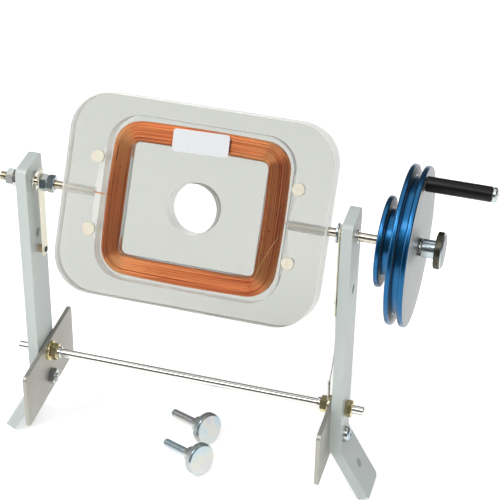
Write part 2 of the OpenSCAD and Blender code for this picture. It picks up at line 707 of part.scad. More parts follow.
module large_pulley() color(blue) difference() {
    floor_r = large_d / 2 - large_depth;
    groove_x = large_x + large_flange_t;
    translate([0, 0, shaft_z]) turned(concat(
        [[shaft_d / 2 + seat_clear, large_x]],
        flange_points(large_d / 2, large_x, groove_x),
        [[floor_r, groove_x], [floor_r, groove_x + large_groove_w]],
        flange_points(large_d / 2, groove_x + large_groove_w, face_x),
        [[shaft_d / 2 + seat_clear, face_x]]));
    at_crank() xrod(crank_pin_d + 2 * seat_clear, face_x - large_face_t, face_x + over);
}
// Places a piece along the crank pin's axis
module at_crank() translate([0, crank_r * sin(crank_deg), shaft_z + crank_r * cos(crank_deg)]) children();
module lock_washer() color(zinc) translate([face_x, 0, shaft_z]) rotate([90, 0, 90])
    linear_extrude(lock_t) difference() {
        teeth = 12;
        tooth = 0.5;
        polygon([for (i = [0 : 2 * teeth - 1])
            let (r = lock_d / 2 - (i % 2) * tooth, a = 180 * i / teeth) [r * cos(a), r * sin(a)]]);
        circle(d = shaft_d + 2 * run_clear);
    }
module thumb_nut() color(zinc) difference() {
    union() {
        xrod(collar_d, thumb_x, thumb_x + collar_len, 0, shaft_z);
        translate([thumb_x + collar_len, 0, shaft_z]) knurled(thumb_d, thumb_t);
    }
    xrod(shaft_d + 2 * run_clear, thumb_x - over, thumb_x + thumb_grip + end_play, 0, shaft_z);
}
module crank_pin() color(zinc) at_crank() {
    xrod(crank_pin_d, face_x - large_face_t, crank_head_x + crank_head_h / 2);
    xrod(grip_d, crank_head_x, crank_head_x + crank_head_h);
}
module crank_grip() color(black) at_crank()
    xwasher(grip_d, crank_pin_d, grip_x, grip_x + grip_len, run_clear);
module thumb_screw_back() color(zinc) thumb_screw(thumb_back_at);
module thumb_screw_front() color(zinc) thumb_screw(thumb_front_at);

left_upright();
right_upright();
left_foot_plate();
right_foot_plate();
plate_screws();
plate_nuts();
tie_rod();
rod_inner_nuts();
rod_washers();
rod_outer_nut();
solder_tag();
jumper_wire();
left_spring();
right_spring();
spring_spacers();
spring_screws();
left_bush();
right_bush();
left_half_shaft();
right_half_shaft();
stop_washer();
stop_nuts();
rub_nuts();
rub_washer();
front_plate();
back_plate();
nylon_screws();
coil_core();
coil_winding();
coil_leads();
label();
small_pulley();
large_pulley();
lock_washer();
thumb_nut();
crank_pin();
crank_grip();
thumb_screw_back();
thumb_screw_front();
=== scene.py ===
# The rotating induction coil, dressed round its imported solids.
# Sizes are in millimetres; Blender's are in metres.
import json
import math
import random

import bpy
from mathutils import Matrix, Vector


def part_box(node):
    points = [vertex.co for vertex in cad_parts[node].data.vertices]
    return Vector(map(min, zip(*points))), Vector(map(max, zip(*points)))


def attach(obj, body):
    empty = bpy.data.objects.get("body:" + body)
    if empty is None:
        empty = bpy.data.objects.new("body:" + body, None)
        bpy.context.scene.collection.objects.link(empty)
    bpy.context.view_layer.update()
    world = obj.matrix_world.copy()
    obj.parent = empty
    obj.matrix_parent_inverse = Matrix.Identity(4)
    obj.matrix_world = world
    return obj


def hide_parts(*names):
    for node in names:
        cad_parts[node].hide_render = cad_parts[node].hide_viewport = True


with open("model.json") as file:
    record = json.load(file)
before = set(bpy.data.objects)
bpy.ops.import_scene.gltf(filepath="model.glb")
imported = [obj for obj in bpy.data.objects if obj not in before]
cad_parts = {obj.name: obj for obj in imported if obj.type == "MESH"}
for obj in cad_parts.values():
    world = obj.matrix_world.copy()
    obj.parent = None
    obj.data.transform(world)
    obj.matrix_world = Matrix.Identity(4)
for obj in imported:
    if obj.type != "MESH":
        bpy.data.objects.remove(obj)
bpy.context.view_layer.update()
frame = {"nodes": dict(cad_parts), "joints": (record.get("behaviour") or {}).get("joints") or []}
MM = 0.001

# Sizes of the solids that the pieces below share with them
SHAFT_Z = next(j["pos_m"][2] for j in frame["joints"] if j["name"] == "rotor_spin") / MM
SHAFT_D = 4.0
IN_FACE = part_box("right_upright")[0].x / MM
BAR_T = 5.0
OUT_FACE = IN_FACE + BAR_T
NUT_AF, NUT_T, WASHER_D = 7.0, 3.2, 9.0
PLATE_W, PLATE_H, PLATE_T, PLATE_R = 120.0, 90.0, 12.5, 18.0
PLATE_OFF = 3.9
REST_TILT = 28.7
CENTRE_HOLE_D = 22.5
COIL_W, COIL_H, COIL_R, COIL_BAND = 80.4, 69.4, 12.0, 9.0
POCKET_ROOM, POCKET_DEPTH = 2.0, 4.2
THREAD_D, THREAD_PITCH = 4.0, 0.7
PLATE_FRAME = (Matrix.Translation((PLATE_OFF * MM, 0, SHAFT_Z * MM))
               @ Matrix.Rotation(math.radians(90 - REST_TILT), 4, "X"))


def corners(node):
    """Lowest and highest corner of a solid, in millimetres."""
    low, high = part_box(node)
    return low / MM, high / MM


# Finishes

def linear(hex_colour):
    parts = [int(hex_colour[i:i + 2], 16) / 255 for i in (1, 3, 5)]
    return [p / 12.92 if p <= 0.04045 else ((p + 0.055) / 1.055) ** 2.4 for p in parts] + [1.0]


def add(tree, kind, settings=None, links=None):
    """One shader node, with its own settings, its sockets' values and what feeds them."""
    made = tree.nodes.new(kind)
    for key, value in (settings or {}).items():
        if key in made.inputs:
            made.inputs[key].default_value = value
        else:
            setattr(made, key, value)
    for key, source in (links or {}).items():
        tree.links.new(source, made.inputs[key])
    return made


def finish_of(name, **sockets):
    """A new material and the parts of it that a pattern needs."""
    material = bpy.data.materials.new(name)
    material.use_nodes = True
    tree = material.node_tree
    shader = tree.nodes["Principled BSDF"]
    for key, value in sockets.items():
        shader.inputs[key.replace("_", " ")].default_value = value
    place = add(tree, "ShaderNodeTexCoord").outputs["Object"]
    return material, tree, shader, place


def blend_colours(tree, shader, factor, stops):
    """Feeds the base colour from a ramp of (place, hex colour) stops."""
    ramp = add(tree, "ShaderNodeValToRGB", links={"Fac": factor})
    ramp.color_ramp.elements.remove(ramp.color_ramp.elements[1])
    for i, (at, colour) in enumerate(stops):
        stop = ramp.color_ramp.elements[0] if i == 0 else ramp.color_ramp.elements.new(at)
        stop.position = at
        stop.color = linear(colour)
    tree.links.new(ramp.outputs["Color"], shader.inputs["Base Color"])


def rough_between(tree, shader, factor, low, high):
    spread = add(tree, "ShaderNodeMapRange", {"To Min": low, "To Max": high}, {"Value": factor})
    tree.links.new(spread.outputs["Result"], shader.inputs["Roughness"])


def raise_by(tree, shader, height, depth_mm, strength):
    settings = {"Distance": depth_mm * MM, "Strength": strength}
    bump = add(tree, "ShaderNodeBump", settings, {"Height": height})
    tree.links.new(bump.outputs["Normal"], shader.inputs["Normal"])


def size(mm):
    """Noise scale whose cells are this wide."""
    return 1 / (mm * MM)


def lathe_lines(tree, spacing_mm):
    """Irregular lines round a turned piece, from the radius and place stored on it in millimetres."""
    lathe = add(tree, "ShaderNodeAttribute", {"attribute_name": "lathe"}).outputs["Vector"]
    parts = add(tree, "ShaderNodeSeparateXYZ", links={"Vector": lathe})
    along = add(tree, "ShaderNodeMath", {"operation": "ADD"})
    tree.links.new(parts.outputs["X"], along.inputs[0])
    tree.links.new(parts.outputs["Y"], along.inputs[1])
    settings = {"noise_dimensions": "1D", "Scale": 1 / spacing_mm, "Detail": 3.0}
    return add(tree, "ShaderNodeTexNoise", settings, {"W": along.outputs["Value"]}).outputs["Fac"]


def noise(tree, place, cell_mm, detail=2.0, stretch=None):
    if stretch:
        place = add(tree, "ShaderNodeMapping", {"Scale": stretch}, {"Vector": place}).outputs["Vector"]
    return add(tree, "ShaderNodeTexNoise", {"Scale": size(cell_mm), "Detail": detail},
               {"Vector": place}).outputs["Fac"]


def powder_coat():
    """Sprayed and baked powder on steel bar: even pale grey, satin, with a faint orange peel."""
    m, t, s, place = finish_of("grey_powder_coat", Metallic=0.0, IOR=1.5, Coat_Weight=0.15,
                               Coat_Roughness=0.25)
    cloud = noise(t, place, 40, 3)
    blend_colours(t, s, cloud, ((0.3, "#b2bab7"), (0.7, "#b9c0bd")))
    rough_between(t, s, cloud, 0.34, 0.44)
    raise_by(t, s, noise(t, place, 0.9), 0.02, 0.25)
    return m


def rolled_sheet():
    """Mill-finished aluminium sheet: warm grey, satin, with fine rolling lines front to back."""
    m, t, s, place = finish_of("rolled_aluminium_sheet", Metallic=0.75)
    lines = noise(t, place, 0.5, 3, (1, 0.04, 1))
    blend_colours(t, s, noise(t, place, 25), ((0.3, "#a3a29a"), (0.7, "#afaea6")))
    rough_between(t, s, lines, 0.36, 0.5)
    raise_by(t, s, lines, 0.01, 0.2)
    return m


def zinc_plate(name, shine):
    """Bright zinc plating, clear passivated: bluish silver with faint yellow and violet films."""
    m, t, s, place = finish_of(name, Metallic=shine)
    film = noise(t, place, 9, 1)
    blend_colours(t, s, film, ((0.25, "#a9c0cd"), (0.45, "#bcc7ca"), (0.6, "#c8c8c1"), (0.75, "#bfc0c8")))
    lines = lathe_lines(t, 0.35)
    rough_between(t, s, lines, 0.14, 0.24)
    raise_by(t, s, lines, 0.01, 0.12)
    return m


def drawn_steel():
    """Drawn and polished steel rod: near mirror, with hairlines along its length."""
    m, t, s, place = finish_of("drawn_bright_steel", Metallic=1.0)
    lines = noise(t, place, 0.4, 2, (0.02, 1, 1))
    blend_colours(t, s, lines, ((0.3, "#d3d2ce"), (0.7, "#e2e1dd")))
    rough_between(t, s, lines, 0.1, 0.2)
    raise_by(t, s, lines, 0.005, 0.1)
    return m


def turned_brass():
    """Turned brass left bare: pale yellow, bright, with the odd dull patch."""
    m, t, s, place = finish_of("turned_brass", Metallic=1.0)
    blend_colours(t, s, noise(t, place, 3), ((0.3, "#cdbb83"), (0.7, "#ece0b6")))
    lines = lathe_lines(t, 0.3)
    rough_between(t, s, lines, 0.16, 0.28)
    raise_by(t, s, lines, 0.01, 0.15)
    return m


def nickel_shaft():
    """Nickel-plated brass shaft: pale warm silver, polished."""
    m, t, s, place = finish_of("nickel_plated_brass", Metallic=1.0)
    blend_colours(t, s, noise(t, place, 2.5), ((0.3, "#b3ab9b"), (0.7, "#d3cdbf")))
    lines = lathe_lines(t, 0.25)
    rough_between(t, s, lines, 0.08, 0.16)
    raise_by(t, s, lines, 0.005, 0.15)
    return m


def spring_strip():
    """Rolled nickel-silver strip: cream-white, satin, with lines along the strip."""
    m, t, s, place = finish_of("nickel_silver_strip", Metallic=0.55)
    lines = noise(t, place, 0.4, 2, (1, 1, 0.03))
    blend_colours(t, s, lines, ((0.3, "#ddd8c2"), (0.7, "#ebe7d6")))
    rough_between(t, s, lines, 0.34, 0.46)
    raise_by(t, s, lines, 0.008, 0.15)
    return m


def enamelled_copper():
    """Copper wire under clear red enamel: streaks from brown to orange, with a painted highlight that makes
    the wire palest at the coil's corners.
    """
    m, t, s, place = finish_of("enamelled_copper_wire", Metallic=0.95, Coat_Weight=0.15, Coat_Roughness=0.1)
    strand = add(t, "ShaderNodeAttribute", {"attribute_name": "strand"}).outputs["Fac"]
    blend_colours(t, s, strand, ((0.0, "#c45a2c"), (0.36, "#ff9a60"), (0.7, "#ffb274"), (1.0, "#ffd29a")))
    rough_between(t, s, noise(t, place, 2.0), 0.24, 0.36)
    return m


def clear_acrylic(name, tint):
    """Polished cast acrylic, faintly grey, with the finest of handling marks."""
    m, t, s, place = finish_of(name, Metallic=0.0, IOR=1.49, Transmission_Weight=1.0)
    s.inputs["Base Color"].default_value = linear(tint)
    rough_between(t, s, noise(t, place, 12, 3), 0.0, 0.035)
    return m


def cut_acrylic_painted_glow(name, glow_left, glow_right):
    """Cut faces of the acrylic: frosted whitish, with a painted glow (emission, though no lamp) standing in
    for light gathered in the sheet, strongest on the left.
    """
    m, t, s, place = finish_of(name, Metallic=0.0, IOR=1.49, Transmission_Weight=0.7)
    # Painted glow: the cut faces emit a near-white light
    s.inputs["Emission Color"].default_value = linear("#fbfcf8")
    across = add(t, "ShaderNodeSeparateXYZ", links={"Vector": place}).outputs["X"]
    half = PLATE_W / 2 * MM
    span = {"From Min": -half, "From Max": half, "To Min": glow_left, "To Max": glow_right}
    glow = add(t, "ShaderNodeMapRange", span, {"Value": across})
    t.links.new(glow.outputs["Result"], s.inputs["Emission Strength"])
    s.inputs["Base Color"].default_value = linear("#f6f7f5")
    waves = noise(t, place, 1.5, 2, (1, 1, 4))
    rough_between(t, s, waves, 0.45, 0.6)
    raise_by(t, s, waves, 0.02, 0.2)
    return m


def natural_nylon():
    """Moulded natural nylon: cream, waxy, lets a little light in."""
    m, t, s, place = finish_of("natural_nylon", Metallic=0.0, IOR=1.53, Subsurface_Weight=0.35,
                               Subsurface_Scale=0.6 * MM)
    blend_colours(t, s, noise(t, place, 1.5), ((0.3, "#d5cfbc"), (0.7, "#dcd7c7")))
    rough_between(t, s, noise(t, place, 0.6), 0.38, 0.5)
    return m


def label_paper():
    """Coated label stock, bare: white with a dull gloss and a trace of fibre."""
    m, t, s, place = finish_of("bare_label_paper", Metallic=0.0, IOR=1.45)
    blend_colours(t, s, noise(t, place, 0.5, 4), ((0.3, "#cdced0"), (0.7, "#d4d5d7")))
    rough_between(t, s, noise(t, place, 2), 0.42, 0.55)
    return m


def blue_anodised():
    """Turned aluminium, dyed blue and sealed: a metal's gloss under a clear skin, with fine lathe lines."""
    m, t, s = finish_of("blue_anodised_aluminium", Metallic=1.0, Coat_Weight=0.25, Coat_Roughness=0.08)[:3]
    lines = lathe_lines(t, 0.22)
    blend_colours(t, s, lines, ((0.25, "#16527d"), (0.75, "#206394")))
    rough_between(t, s, lines, 0.2, 0.34)
    raise_by(t, s, lines, 0.012, 0.2)
    return m


def painted_sheen_faces():
    """Grey with fine rings: painted sheen standing in for the grazing reflection on the pulleys' blue
    anodised faces; on the thumb nut's zinc face it is painted shade.
    """
    m, t, s = finish_of("grey_faces_painted_sheen", Metallic=1.0)[:3]
    lines = lathe_lines(t, 0.3)
    blend_colours(t, s, lines, ((0.25, "#919394"), (0.75, "#9d9fa0")))
    rough_between(t, s, lines, 0.34, 0.46)
    raise_by(t, s, lines, 0.006, 0.1)
    return m


def knurled_rim(name, shine, dark, light):
    """Zinc over cut diamonds, its colour painted darker or paler for how light falls on the many small
    facets: painted shade or painted light.
    """
    m, t, s, place = finish_of(name, Metallic=shine)
    blend_colours(t, s, noise(t, place, 2), ((0.3, dark), (0.7, light)))
    rough_between(t, s, noise(t, place, 0.4), 0.3, 0.5)
    return m


def black_sleeve():
    """Moulded black plastic tube: deep black, satin, with a faint grain."""
    m, t, s, place = finish_of("black_moulded_plastic", Metallic=0.0, IOR=1.4, Specular_IOR_Level=0.3)
    blend_colours(t, s, noise(t, place, 3), ((0.3, "#080807"), (0.7, "#0f0e0d")))
    rough_between(t, s, noise(t, place, 0.7), 0.3, 0.4)
    raise_by(t, s, noise(t, place, 0.35), 0.02, 0.15)
    return m


def brown_fibre():
    """Pressed insulating board: matt pale brown with short fibres."""
    m, t, s, place = finish_of("pressed_fibre_board", Metallic=0.0, IOR=1.45)
    flecks = noise(t, place, 0.3, 3, (1, 0.4, 1))
    blend_colours(t, s, flecks, ((0.3, "#a08a6a"), (0.7, "#bba888")))
    rough_between(t, s, flecks, 0.6, 0.75)
    raise_by(t, s, flecks, 0.02, 0.3)
    return m


def black_oxide():
    """Small screws of blackened steel, a little oily."""
    m, t, s, place = finish_of("blackened_steel", Metallic=1.0)
    blend_colours(t, s, noise(t, place, 0.8), ((0.3, "#33302e"), (0.7, "#57524e")))
    rough_between(t, s, lathe_lines(t, 0.2), 0.26, 0.38)
    return m


def tinned():
    """Tinned copper and cooled solder: soft grey-white, slightly wavy."""
    m, t, s, place = finish_of("tinned_copper", Metallic=1.0)
    wave = noise(t, place, 1.2, 2)
    blend_colours(t, s, wave, ((0.3, "#9c9a92"), (0.7, "#c9c7c0")))
    rough_between(t, s, wave, 0.2, 0.38)
    raise_by(t, s, wave, 0.03, 0.25)
    return m


POWDER, SHEET, STEEL, BRASS = powder_coat(), rolled_sheet(), drawn_steel(), turned_brass()
ZINC, PALE_ZINC = zinc_plate("zinc_plated_steel", 1.0), zinc_plate("satin_zinc_plate", 0.8)
SHAFT, STRIP, COPPER = nickel_shaft(), spring_strip(), enamelled_copper()
# The back sheet is a darker copy of the same acrylic, painted shade holding more of the grey, so that the
# wire behind the front sheet stays bright
ACRYLIC = clear_acrylic("clear_cast_acrylic", "#eff0ed")
BACK_ACRYLIC = clear_acrylic("back_acrylic_painted_shade", "#d6d7d4")
NYLON, PAPER, BLUE, SLEEVE = natural_nylon(), label_paper(), blue_anodised(), black_sleeve()
FIBRE, DARK, TIN = brown_fibre(), black_oxide(), tinned()
# Painted glow on the cut faces: emission strength at the left, then at the right
MILLED = cut_acrylic_painted_glow("milled_acrylic_painted_glow", 0.1, 0.05)
EDGE = cut_acrylic_painted_glow("sawn_acrylic_rim_painted_glow", 0.27, 0.1)
# Painted sheen: the grey pulley-face finish, for the grazing reflection on blue anodised faces
PAINTED_SHEEN_FACE, KNURL = painted_sheen_faces(), knurled_rim("knurled_zinc_painted_shade", 1.0, "#3f3e35", "#615f54")
# The knurled zinc comes as a dark copy on the line above, painted shade, and this pale copy, painted light
PALE_KNURL = knurled_rim("knurled_zinc_painted_light", 0.8, "#aab1b2", "#c4c9c8")


# Workshop

def only(obj):
    bpy.ops.object.select_all(action="DESELECT")
    obj.select_set(True)
    bpy.context.view_layer.objects.active = obj


def edit(obj):
    only(obj)
    bpy.ops.object.mode_set(mode="EDIT")
    bpy.ops.mesh.select_mode(type="VERT")


def leave():
    bpy.ops.object.mode_set(mode="OBJECT")


def pick(obj, wanted):
    """Selects the points that wanted(point in mm) names, and opens the piece for editing."""
    only(obj)
    for v in obj.data.vertices:
        v.select = wanted(v.co / MM)
    for part in (*obj.data.edges, *obj.data.polygons):
        part.select = False
    edit(obj)


def smooth(obj, degrees=32):
    edit(obj)
    bpy.ops.mesh.select_all(action="SELECT")
    bpy.ops.mesh.remove_doubles(threshold=1e-7)
    bpy.ops.mesh.normals_make_consistent(inside=False)
    leave()
    bpy.ops.object.shade_smooth_by_angle(angle=math.radians(degrees))
    return obj


def added(name):
    """The primitive that was just added, with its place and size put into its mesh."""
    piece = bpy.context.active_object
    piece.name = name
    bpy.ops.object.transform_apply(location=True, rotation=True, scale=True)
    return piece


def put(piece, matrix):
    only(piece)
    piece.matrix_world = matrix
    bpy.ops.object.transform_apply(location=True, rotation=True, scale=True)
    return piece


def copied(piece, matrix):
    twin = piece.copy()
    twin.data = piece.data.copy()
    bpy.context.scene.collection.objects.link(twin)
    return put(twin, matrix)


def mirrored(piece):
    """Turned over to the left."""
    return smooth(put(piece, Matrix.Scale(-1, 4, (1, 0, 0))))


def both_sides(piece):
    """The piece and its mirror image on the left, as one."""
    return joined(piece, mirrored(copied(piece, Matrix.Identity(4))))


def joined(*pieces):
    only(pieces[0])
    for p in pieces:
        p.select_set(True)
    bpy.ops.object.join()
    return bpy.context.active_object


def apply_modifier(piece, kind, **settings):
    only(piece)
    modifier = piece.modifiers.new(kind.lower(), kind)
    for key, value in settings.items():
        setattr(modifier, key, value)
    bpy.ops.object.modifier_apply(modifier=modifier.name)
    return piece


def carve(piece, tool, how="DIFFERENCE"):
    apply_modifier(piece, "BOOLEAN", object=tool, operation=how, solver="EXACT")
    bpy.data.objects.remove(tool)
    return piece


def turned(name, profile, steps=64, ring=False):
    """Turns (place, radius) points round X: a circle is extruded and scaled from point to point."""
    bpy.ops.object.select_all(action="DESELECT")
    (x, r), rest = profile[0], profile[1:]
    bpy.ops.mesh.primitive_circle_add(vertices=steps, radius=r * MM, fill_type="NOTHING",
                                      location=(x * MM, 0, 0), rotation=(0, math.pi / 2, 0))
    piece = added(name)
    edit(piece)
    bpy.ops.mesh.select_all(action="SELECT")
    for nx, nr in rest + ([profile[0]] if ring else []):
        bpy.ops.mesh.extrude_region_move(TRANSFORM_OT_translate={"value": ((nx - x) * MM, 0, 0)})
        bpy.ops.transform.resize(value=(1, nr / r, nr / r), center_override=(nx * MM, 0, 0))
        x, r = nx, nr
    if not ring:
        bpy.ops.mesh.edge_face_add()
        bpy.ops.mesh.poke()
        leave()
        for i, v in enumerate(piece.data.vertices):
            v.select = i < steps
        edit(piece)
        bpy.ops.mesh.edge_face_add()
        bpy.ops.mesh.poke()
    leave()
    lathe = piece.data.attributes.new("lathe", "FLOAT_VECTOR", "POINT")
    for v, stored in zip(piece.data.vertices, lathe.data):
        stored.vector = (math.hypot(v.co.y, v.co.z) / MM, v.co.x / MM, 0)
    return smooth(piece)


def arc(cx, cr, radius, start, end, count=4):
    """Points of a rounded edge in a turned profile, angles from straight along X."""
    angles = [math.radians(start + (end - start) * i / count) for i in range(count + 1)]
    return [(cx + radius * math.cos(a), cr + radius * math.sin(a)) for a in angles]


def on_shaft(piece):
    return put(piece, Matrix.Translation((0, 0, SHAFT_Z * MM)))


def at(piece, z, y=0.0):
    return put(piece, Matrix.Translation((0, y * MM, z * MM)))


def block(name, low, high):
    bpy.ops.object.select_all(action="DESELECT")
    middle = [(a + b) / 2 * MM for a, b in zip(low, high)]
    sides = [(b - a) * MM for a, b in zip(low, high)]
    bpy.ops.mesh.primitive_cube_add(size=1, location=middle, scale=sides)
    return added(name)


def threaded(name, x0, x1, steps=24):
    """A V thread: three sides of a small plane, wound by the screw modifier and cut square at both ends."""
    pitch, crest, flat = THREAD_PITCH, THREAD_D / 2, 0.16
    root = crest - 0.54 * pitch
    # The thread starts more than a turn early and at an odd place, so that no point lies on a cut
    start, half = x0 - 1.512 * pitch, (crest + root) / 2
    bpy.ops.object.select_all(action="DESELECT")
    bpy.ops.mesh.primitive_plane_add(size=pitch * MM, location=(start * MM, half * MM, 0))
    piece = added(name)
    edit(piece)
    bpy.ops.mesh.select_all(action="SELECT")
    tall = (crest - root) / pitch
    bpy.ops.transform.resize(value=(1, tall, 1), center_override=(start * MM, half * MM, 0))
    leave()
    pick(piece, lambda p: p.y > half)
    bpy.ops.transform.resize(value=(flat, 1, 1), center_override=(start * MM, crest * MM, 0))
    leave()
    pick(piece, lambda p: p.y < half)
    bpy.ops.mesh.delete(type="EDGE")
    leave()
    apply_modifier(piece, "SCREW", axis="X", angle=2 * math.pi, steps=steps, render_steps=steps,
                   screw_offset=pitch * MM, iterations=math.ceil((x1 - x0) / pitch) + 4)
    edit(piece)
    bpy.ops.mesh.select_all(action="SELECT")
    bpy.ops.mesh.remove_doubles(threshold=0.005 * MM)
    for x, side in ((x0, -1), (x1, 1)):
        bpy.ops.mesh.select_all(action="SELECT")
        bpy.ops.mesh.bisect(plane_co=(x * MM, 0, 0), plane_no=(side, 0, 0), use_fill=True, clear_outer=True,
                            threshold=0.0005 * MM)
        bpy.ops.mesh.poke()
    bpy.ops.mesh.select_all(action="SELECT")
    bpy.ops.mesh.normals_make_consistent(inside=False)
    leave()
    return smooth(piece, 24)


def hex_nut(x0, x1):
    """A hexagon with its corners chamfered by a turned form, bored and countersunk."""
    bpy.ops.object.select_all(action="DESELECT")
    bpy.ops.mesh.primitive_cylinder_add(vertices=6, radius=NUT_AF / math.sqrt(3) * MM, depth=(x1 - x0) * MM,
                                        location=((x0 + x1) / 2 * MM, 0, 0), rotation=(0, math.pi / 2, 0))
    nut = added("nut")
    flat, corner = NUT_AF / 2 * 0.97, NUT_AF / 2 * 1.17
    drop = (corner - flat) * math.tan(math.radians(30))
    form = turned("form", [(x0, flat), (x0 + drop, corner), (x1 - drop, corner), (x1, flat)])
    carve(nut, form, "INTERSECT")
    hole, mouth = THREAD_D / 2 + 0.03, THREAD_D / 2 + 0.4
    carve(nut, turned("bore", [(x0 - 1, mouth), (x0, mouth), (x0 + 0.45, hole), (x1 - 0.45, hole),
                               (x1, mouth), (x1 + 1, mouth)]))
    return smooth(nut, 20)


def washer(x0, x1, outer, bore):
    r, hole, ease = outer / 2, bore / 2 + 0.03, 0.12
    return turned("washer", [(x0, hole), (x0, r - ease), (x0 + ease, r), (x1 - ease, r), (x1, r - ease),
                             (x1, hole)], ring=True)


def eased(name, node, width, segments=2, sharp=30):
    """A copy of a solid with its sharp edges rounded."""
    piece = bpy.data.objects.new(name, frame["nodes"][node].data.copy())
    bpy.context.scene.collection.objects.link(piece)
    piece.data.materials.clear()
    edit(piece)
    bpy.ops.mesh.customdata_custom_splitnormals_clear()
    bpy.ops.mesh.select_all(action="SELECT")
    bpy.ops.mesh.remove_doubles(threshold=1e-6)
    bpy.ops.mesh.dissolve_limited(angle_limit=math.radians(0.4))
    bpy.ops.mesh.normals_make_consistent(inside=False)
    leave()
    bpy.ops.object.shade_smooth()
    return apply_modifier(piece, "BEVEL", width=width * MM, segments=segments, limit_method="ANGLE",
                          angle_limit=math.radians(sharp), use_clamp_overlap=True, harden_normals=True)


def strand(name, points, diameter, rings=1):
    """A wire along points in millimetres, as a mesh."""
    curve = bpy.data.curves.new(name, "CURVE")
    curve.dimensions = "3D"
    curve.bevel_depth = diameter / 2 * MM
    curve.bevel_resolution = rings
    curve.use_fill_caps = True
    line = curve.splines.new("POLY")
    line.points.add(len(points) - 1)
    for spot, p in zip(line.points, points):
        spot.co = (p[0] * MM, p[1] * MM, p[2] * MM, 1)
    wire = bpy.data.objects.new(name, curve)
    bpy.context.scene.collection.objects.link(wire)
    only(wire)
    bpy.ops.object.convert(target="MESH")
    return bpy.context.active_object


def trimmed(piece, *finishes):
    """Gives some faces their own finish: pairs of a finish and a test of a face's middle and normal."""
    piece.data.materials.clear()
    piece.data.materials.append(None)
    for number, (finish, wanted) in enumerate(finishes, 1):
        piece.data.materials.append(finish)
        for p in piece.data.polygons:
            if wanted(p.center / MM, p.normal):
                p.material_index = number
    return piece


def hand_over(piece, name, finish, body, *stands_for):
    piece.name = piece.data.name = name
    if len(piece.data.materials) < 2:
        piece.data.materials.clear()
        piece.data.materials.append(finish)
    for i, present in enumerate(piece.data.materials):
        piece.data.materials[i] = present or finish
    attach(piece, body)
    if stands_for:
        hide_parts(*stands_for)


# Frame

for side in ("left", "right"):
    for node, new_name, finish, ease in (("_upright", "_bent_bar", POWDER, 0.8),
                                         ("_foot_plate", "_foot_sheet", SHEET, 0.5),
                                         ("_spring", "_spring_blade", STRIP, 0.1)):
        hand_over(eased("copy", side + node, ease, 3), side + new_name, finish, "frame", side + node)


def pan_head(x0, d, h):
    """A domed head with a cross recess, from its seat outwards."""
    r = d / 2
    dome = [(x0, r - 0.2), (x0 + 0.2, r), (x0 + h * 0.42, r)]
    dome += [(x0 + h * (0.42 + 0.58 * math.sin(a)), r * (0.3 + 0.7 * math.cos(a)))
             for a in (0.25, 0.5, 0.75, 1.0, 1.25, 1.5)]
    head = turned("head", dome, 48)
    for turn in (45, 135):
        arm = block("arm", (x0 + h * 0.45, -d * 0.26, -d * 0.055), (x0 + h + 1, d * 0.26, d * 0.055))
        carve(head, put(arm, Matrix.Rotation(math.radians(turn), 4, "X")))
    return smooth(head, 28)


low, high = corners("plate_screws")
screw_z = (low.z + high.z) / 2
head_d, head_h = high.z - low.z, 3.4
screw = pan_head(high.x - head_h, head_d, head_h)
plate_nut_t, tip_len = 2.6, 0.8
nut_x = corners("plate_nuts")[1].x
tip_x = nut_x - plate_nut_t - tip_len
screw = at(joined(screw, threaded("thread", tip_x, high.x - head_h - 0.05)), screw_z)
hand_over(both_sides(screw), "foot_plate_screws", ZINC, "frame", "plate_screws")
nut = at(hex_nut(nut_x - plate_nut_t, nut_x), screw_z)
hand_over(both_sides(nut), "foot_plate_nuts", ZINC, "frame", "plate_nuts")

low, high = corners("tie_rod")
rod_z = (low.z + high.z) / 2
rod_r, collar_r, collar_len = 2.0, 2.8, 1.6
nut_low, nut_high = corners("rod_inner_nuts")


def rod_collar(x0, x1):
    return [(x0, rod_r), (x0, collar_r - 0.2), (x0 + 0.2, collar_r), (x1 - 0.2, collar_r),
            (x1, collar_r - 0.2), (x1, rod_r)]


left_seat, right_seat = nut_low.x + NUT_T, nut_high.x - NUT_T
left_end = [(low.x, rod_r - 0.4), (low.x + 0.4, rod_r)]
right_end = [(high.x - 0.4, rod_r), (high.x, rod_r - 0.4)]
rod = turned("rod", left_end + rod_collar(left_seat, left_seat + collar_len)
             + rod_collar(right_seat - collar_len, right_seat) + right_end, 48)
hand_over(at(rod, rod_z), "polished_tie_rod", STEEL, "frame", "tie_rod")
pair = [at(hex_nut(x, x + NUT_T), rod_z) for x in (nut_low.x, right_seat)]
hand_over(joined(*pair), "rod_nuts_inside", BRASS, "frame", "rod_inner_nuts")
low, high = corners("rod_washers")
washer_t, washer_bore = 1.2, 4.2
disc = at(washer(high.x - washer_t, high.x, high.z - low.z, washer_bore), rod_z)
hand_over(both_sides(disc), "rod_washers_inside", BRASS, "frame", "rod_washers")
low, high = corners("rod_outer_nut")
hand_over(at(hex_nut(low.x, high.x), rod_z), "rod_nut_outside", BRASS, "frame", "rod_outer_nut")
hand_over(eased("tag", "solder_tag", 0.1), "solder_lug", TIN, "frame", "solder_tag")

low, high = corners("jumper_wire")
spring_low, spring_high = corners("right_spring")
tag_low = corners("solder_tag")[0]
top = ((spring_low.x + spring_high.x) / 2, 0, high.z)
foot = (tag_low.x + 0.25, 0, low.z)
count, wire_bow = 28, 0.95
route = []
for i in range(count + 1):
    u = i / count
    bow = wire_bow * math.sin(math.pi * u)
    route.append((top[0] + (foot[0] - top[0]) * u + bow, 0, top[2] + (foot[2] - top[2]) * u))
hand_over(strand("jumper", route, 0.6, 3), "bare_jumper_wire", TIN, "frame", "jumper_wire")


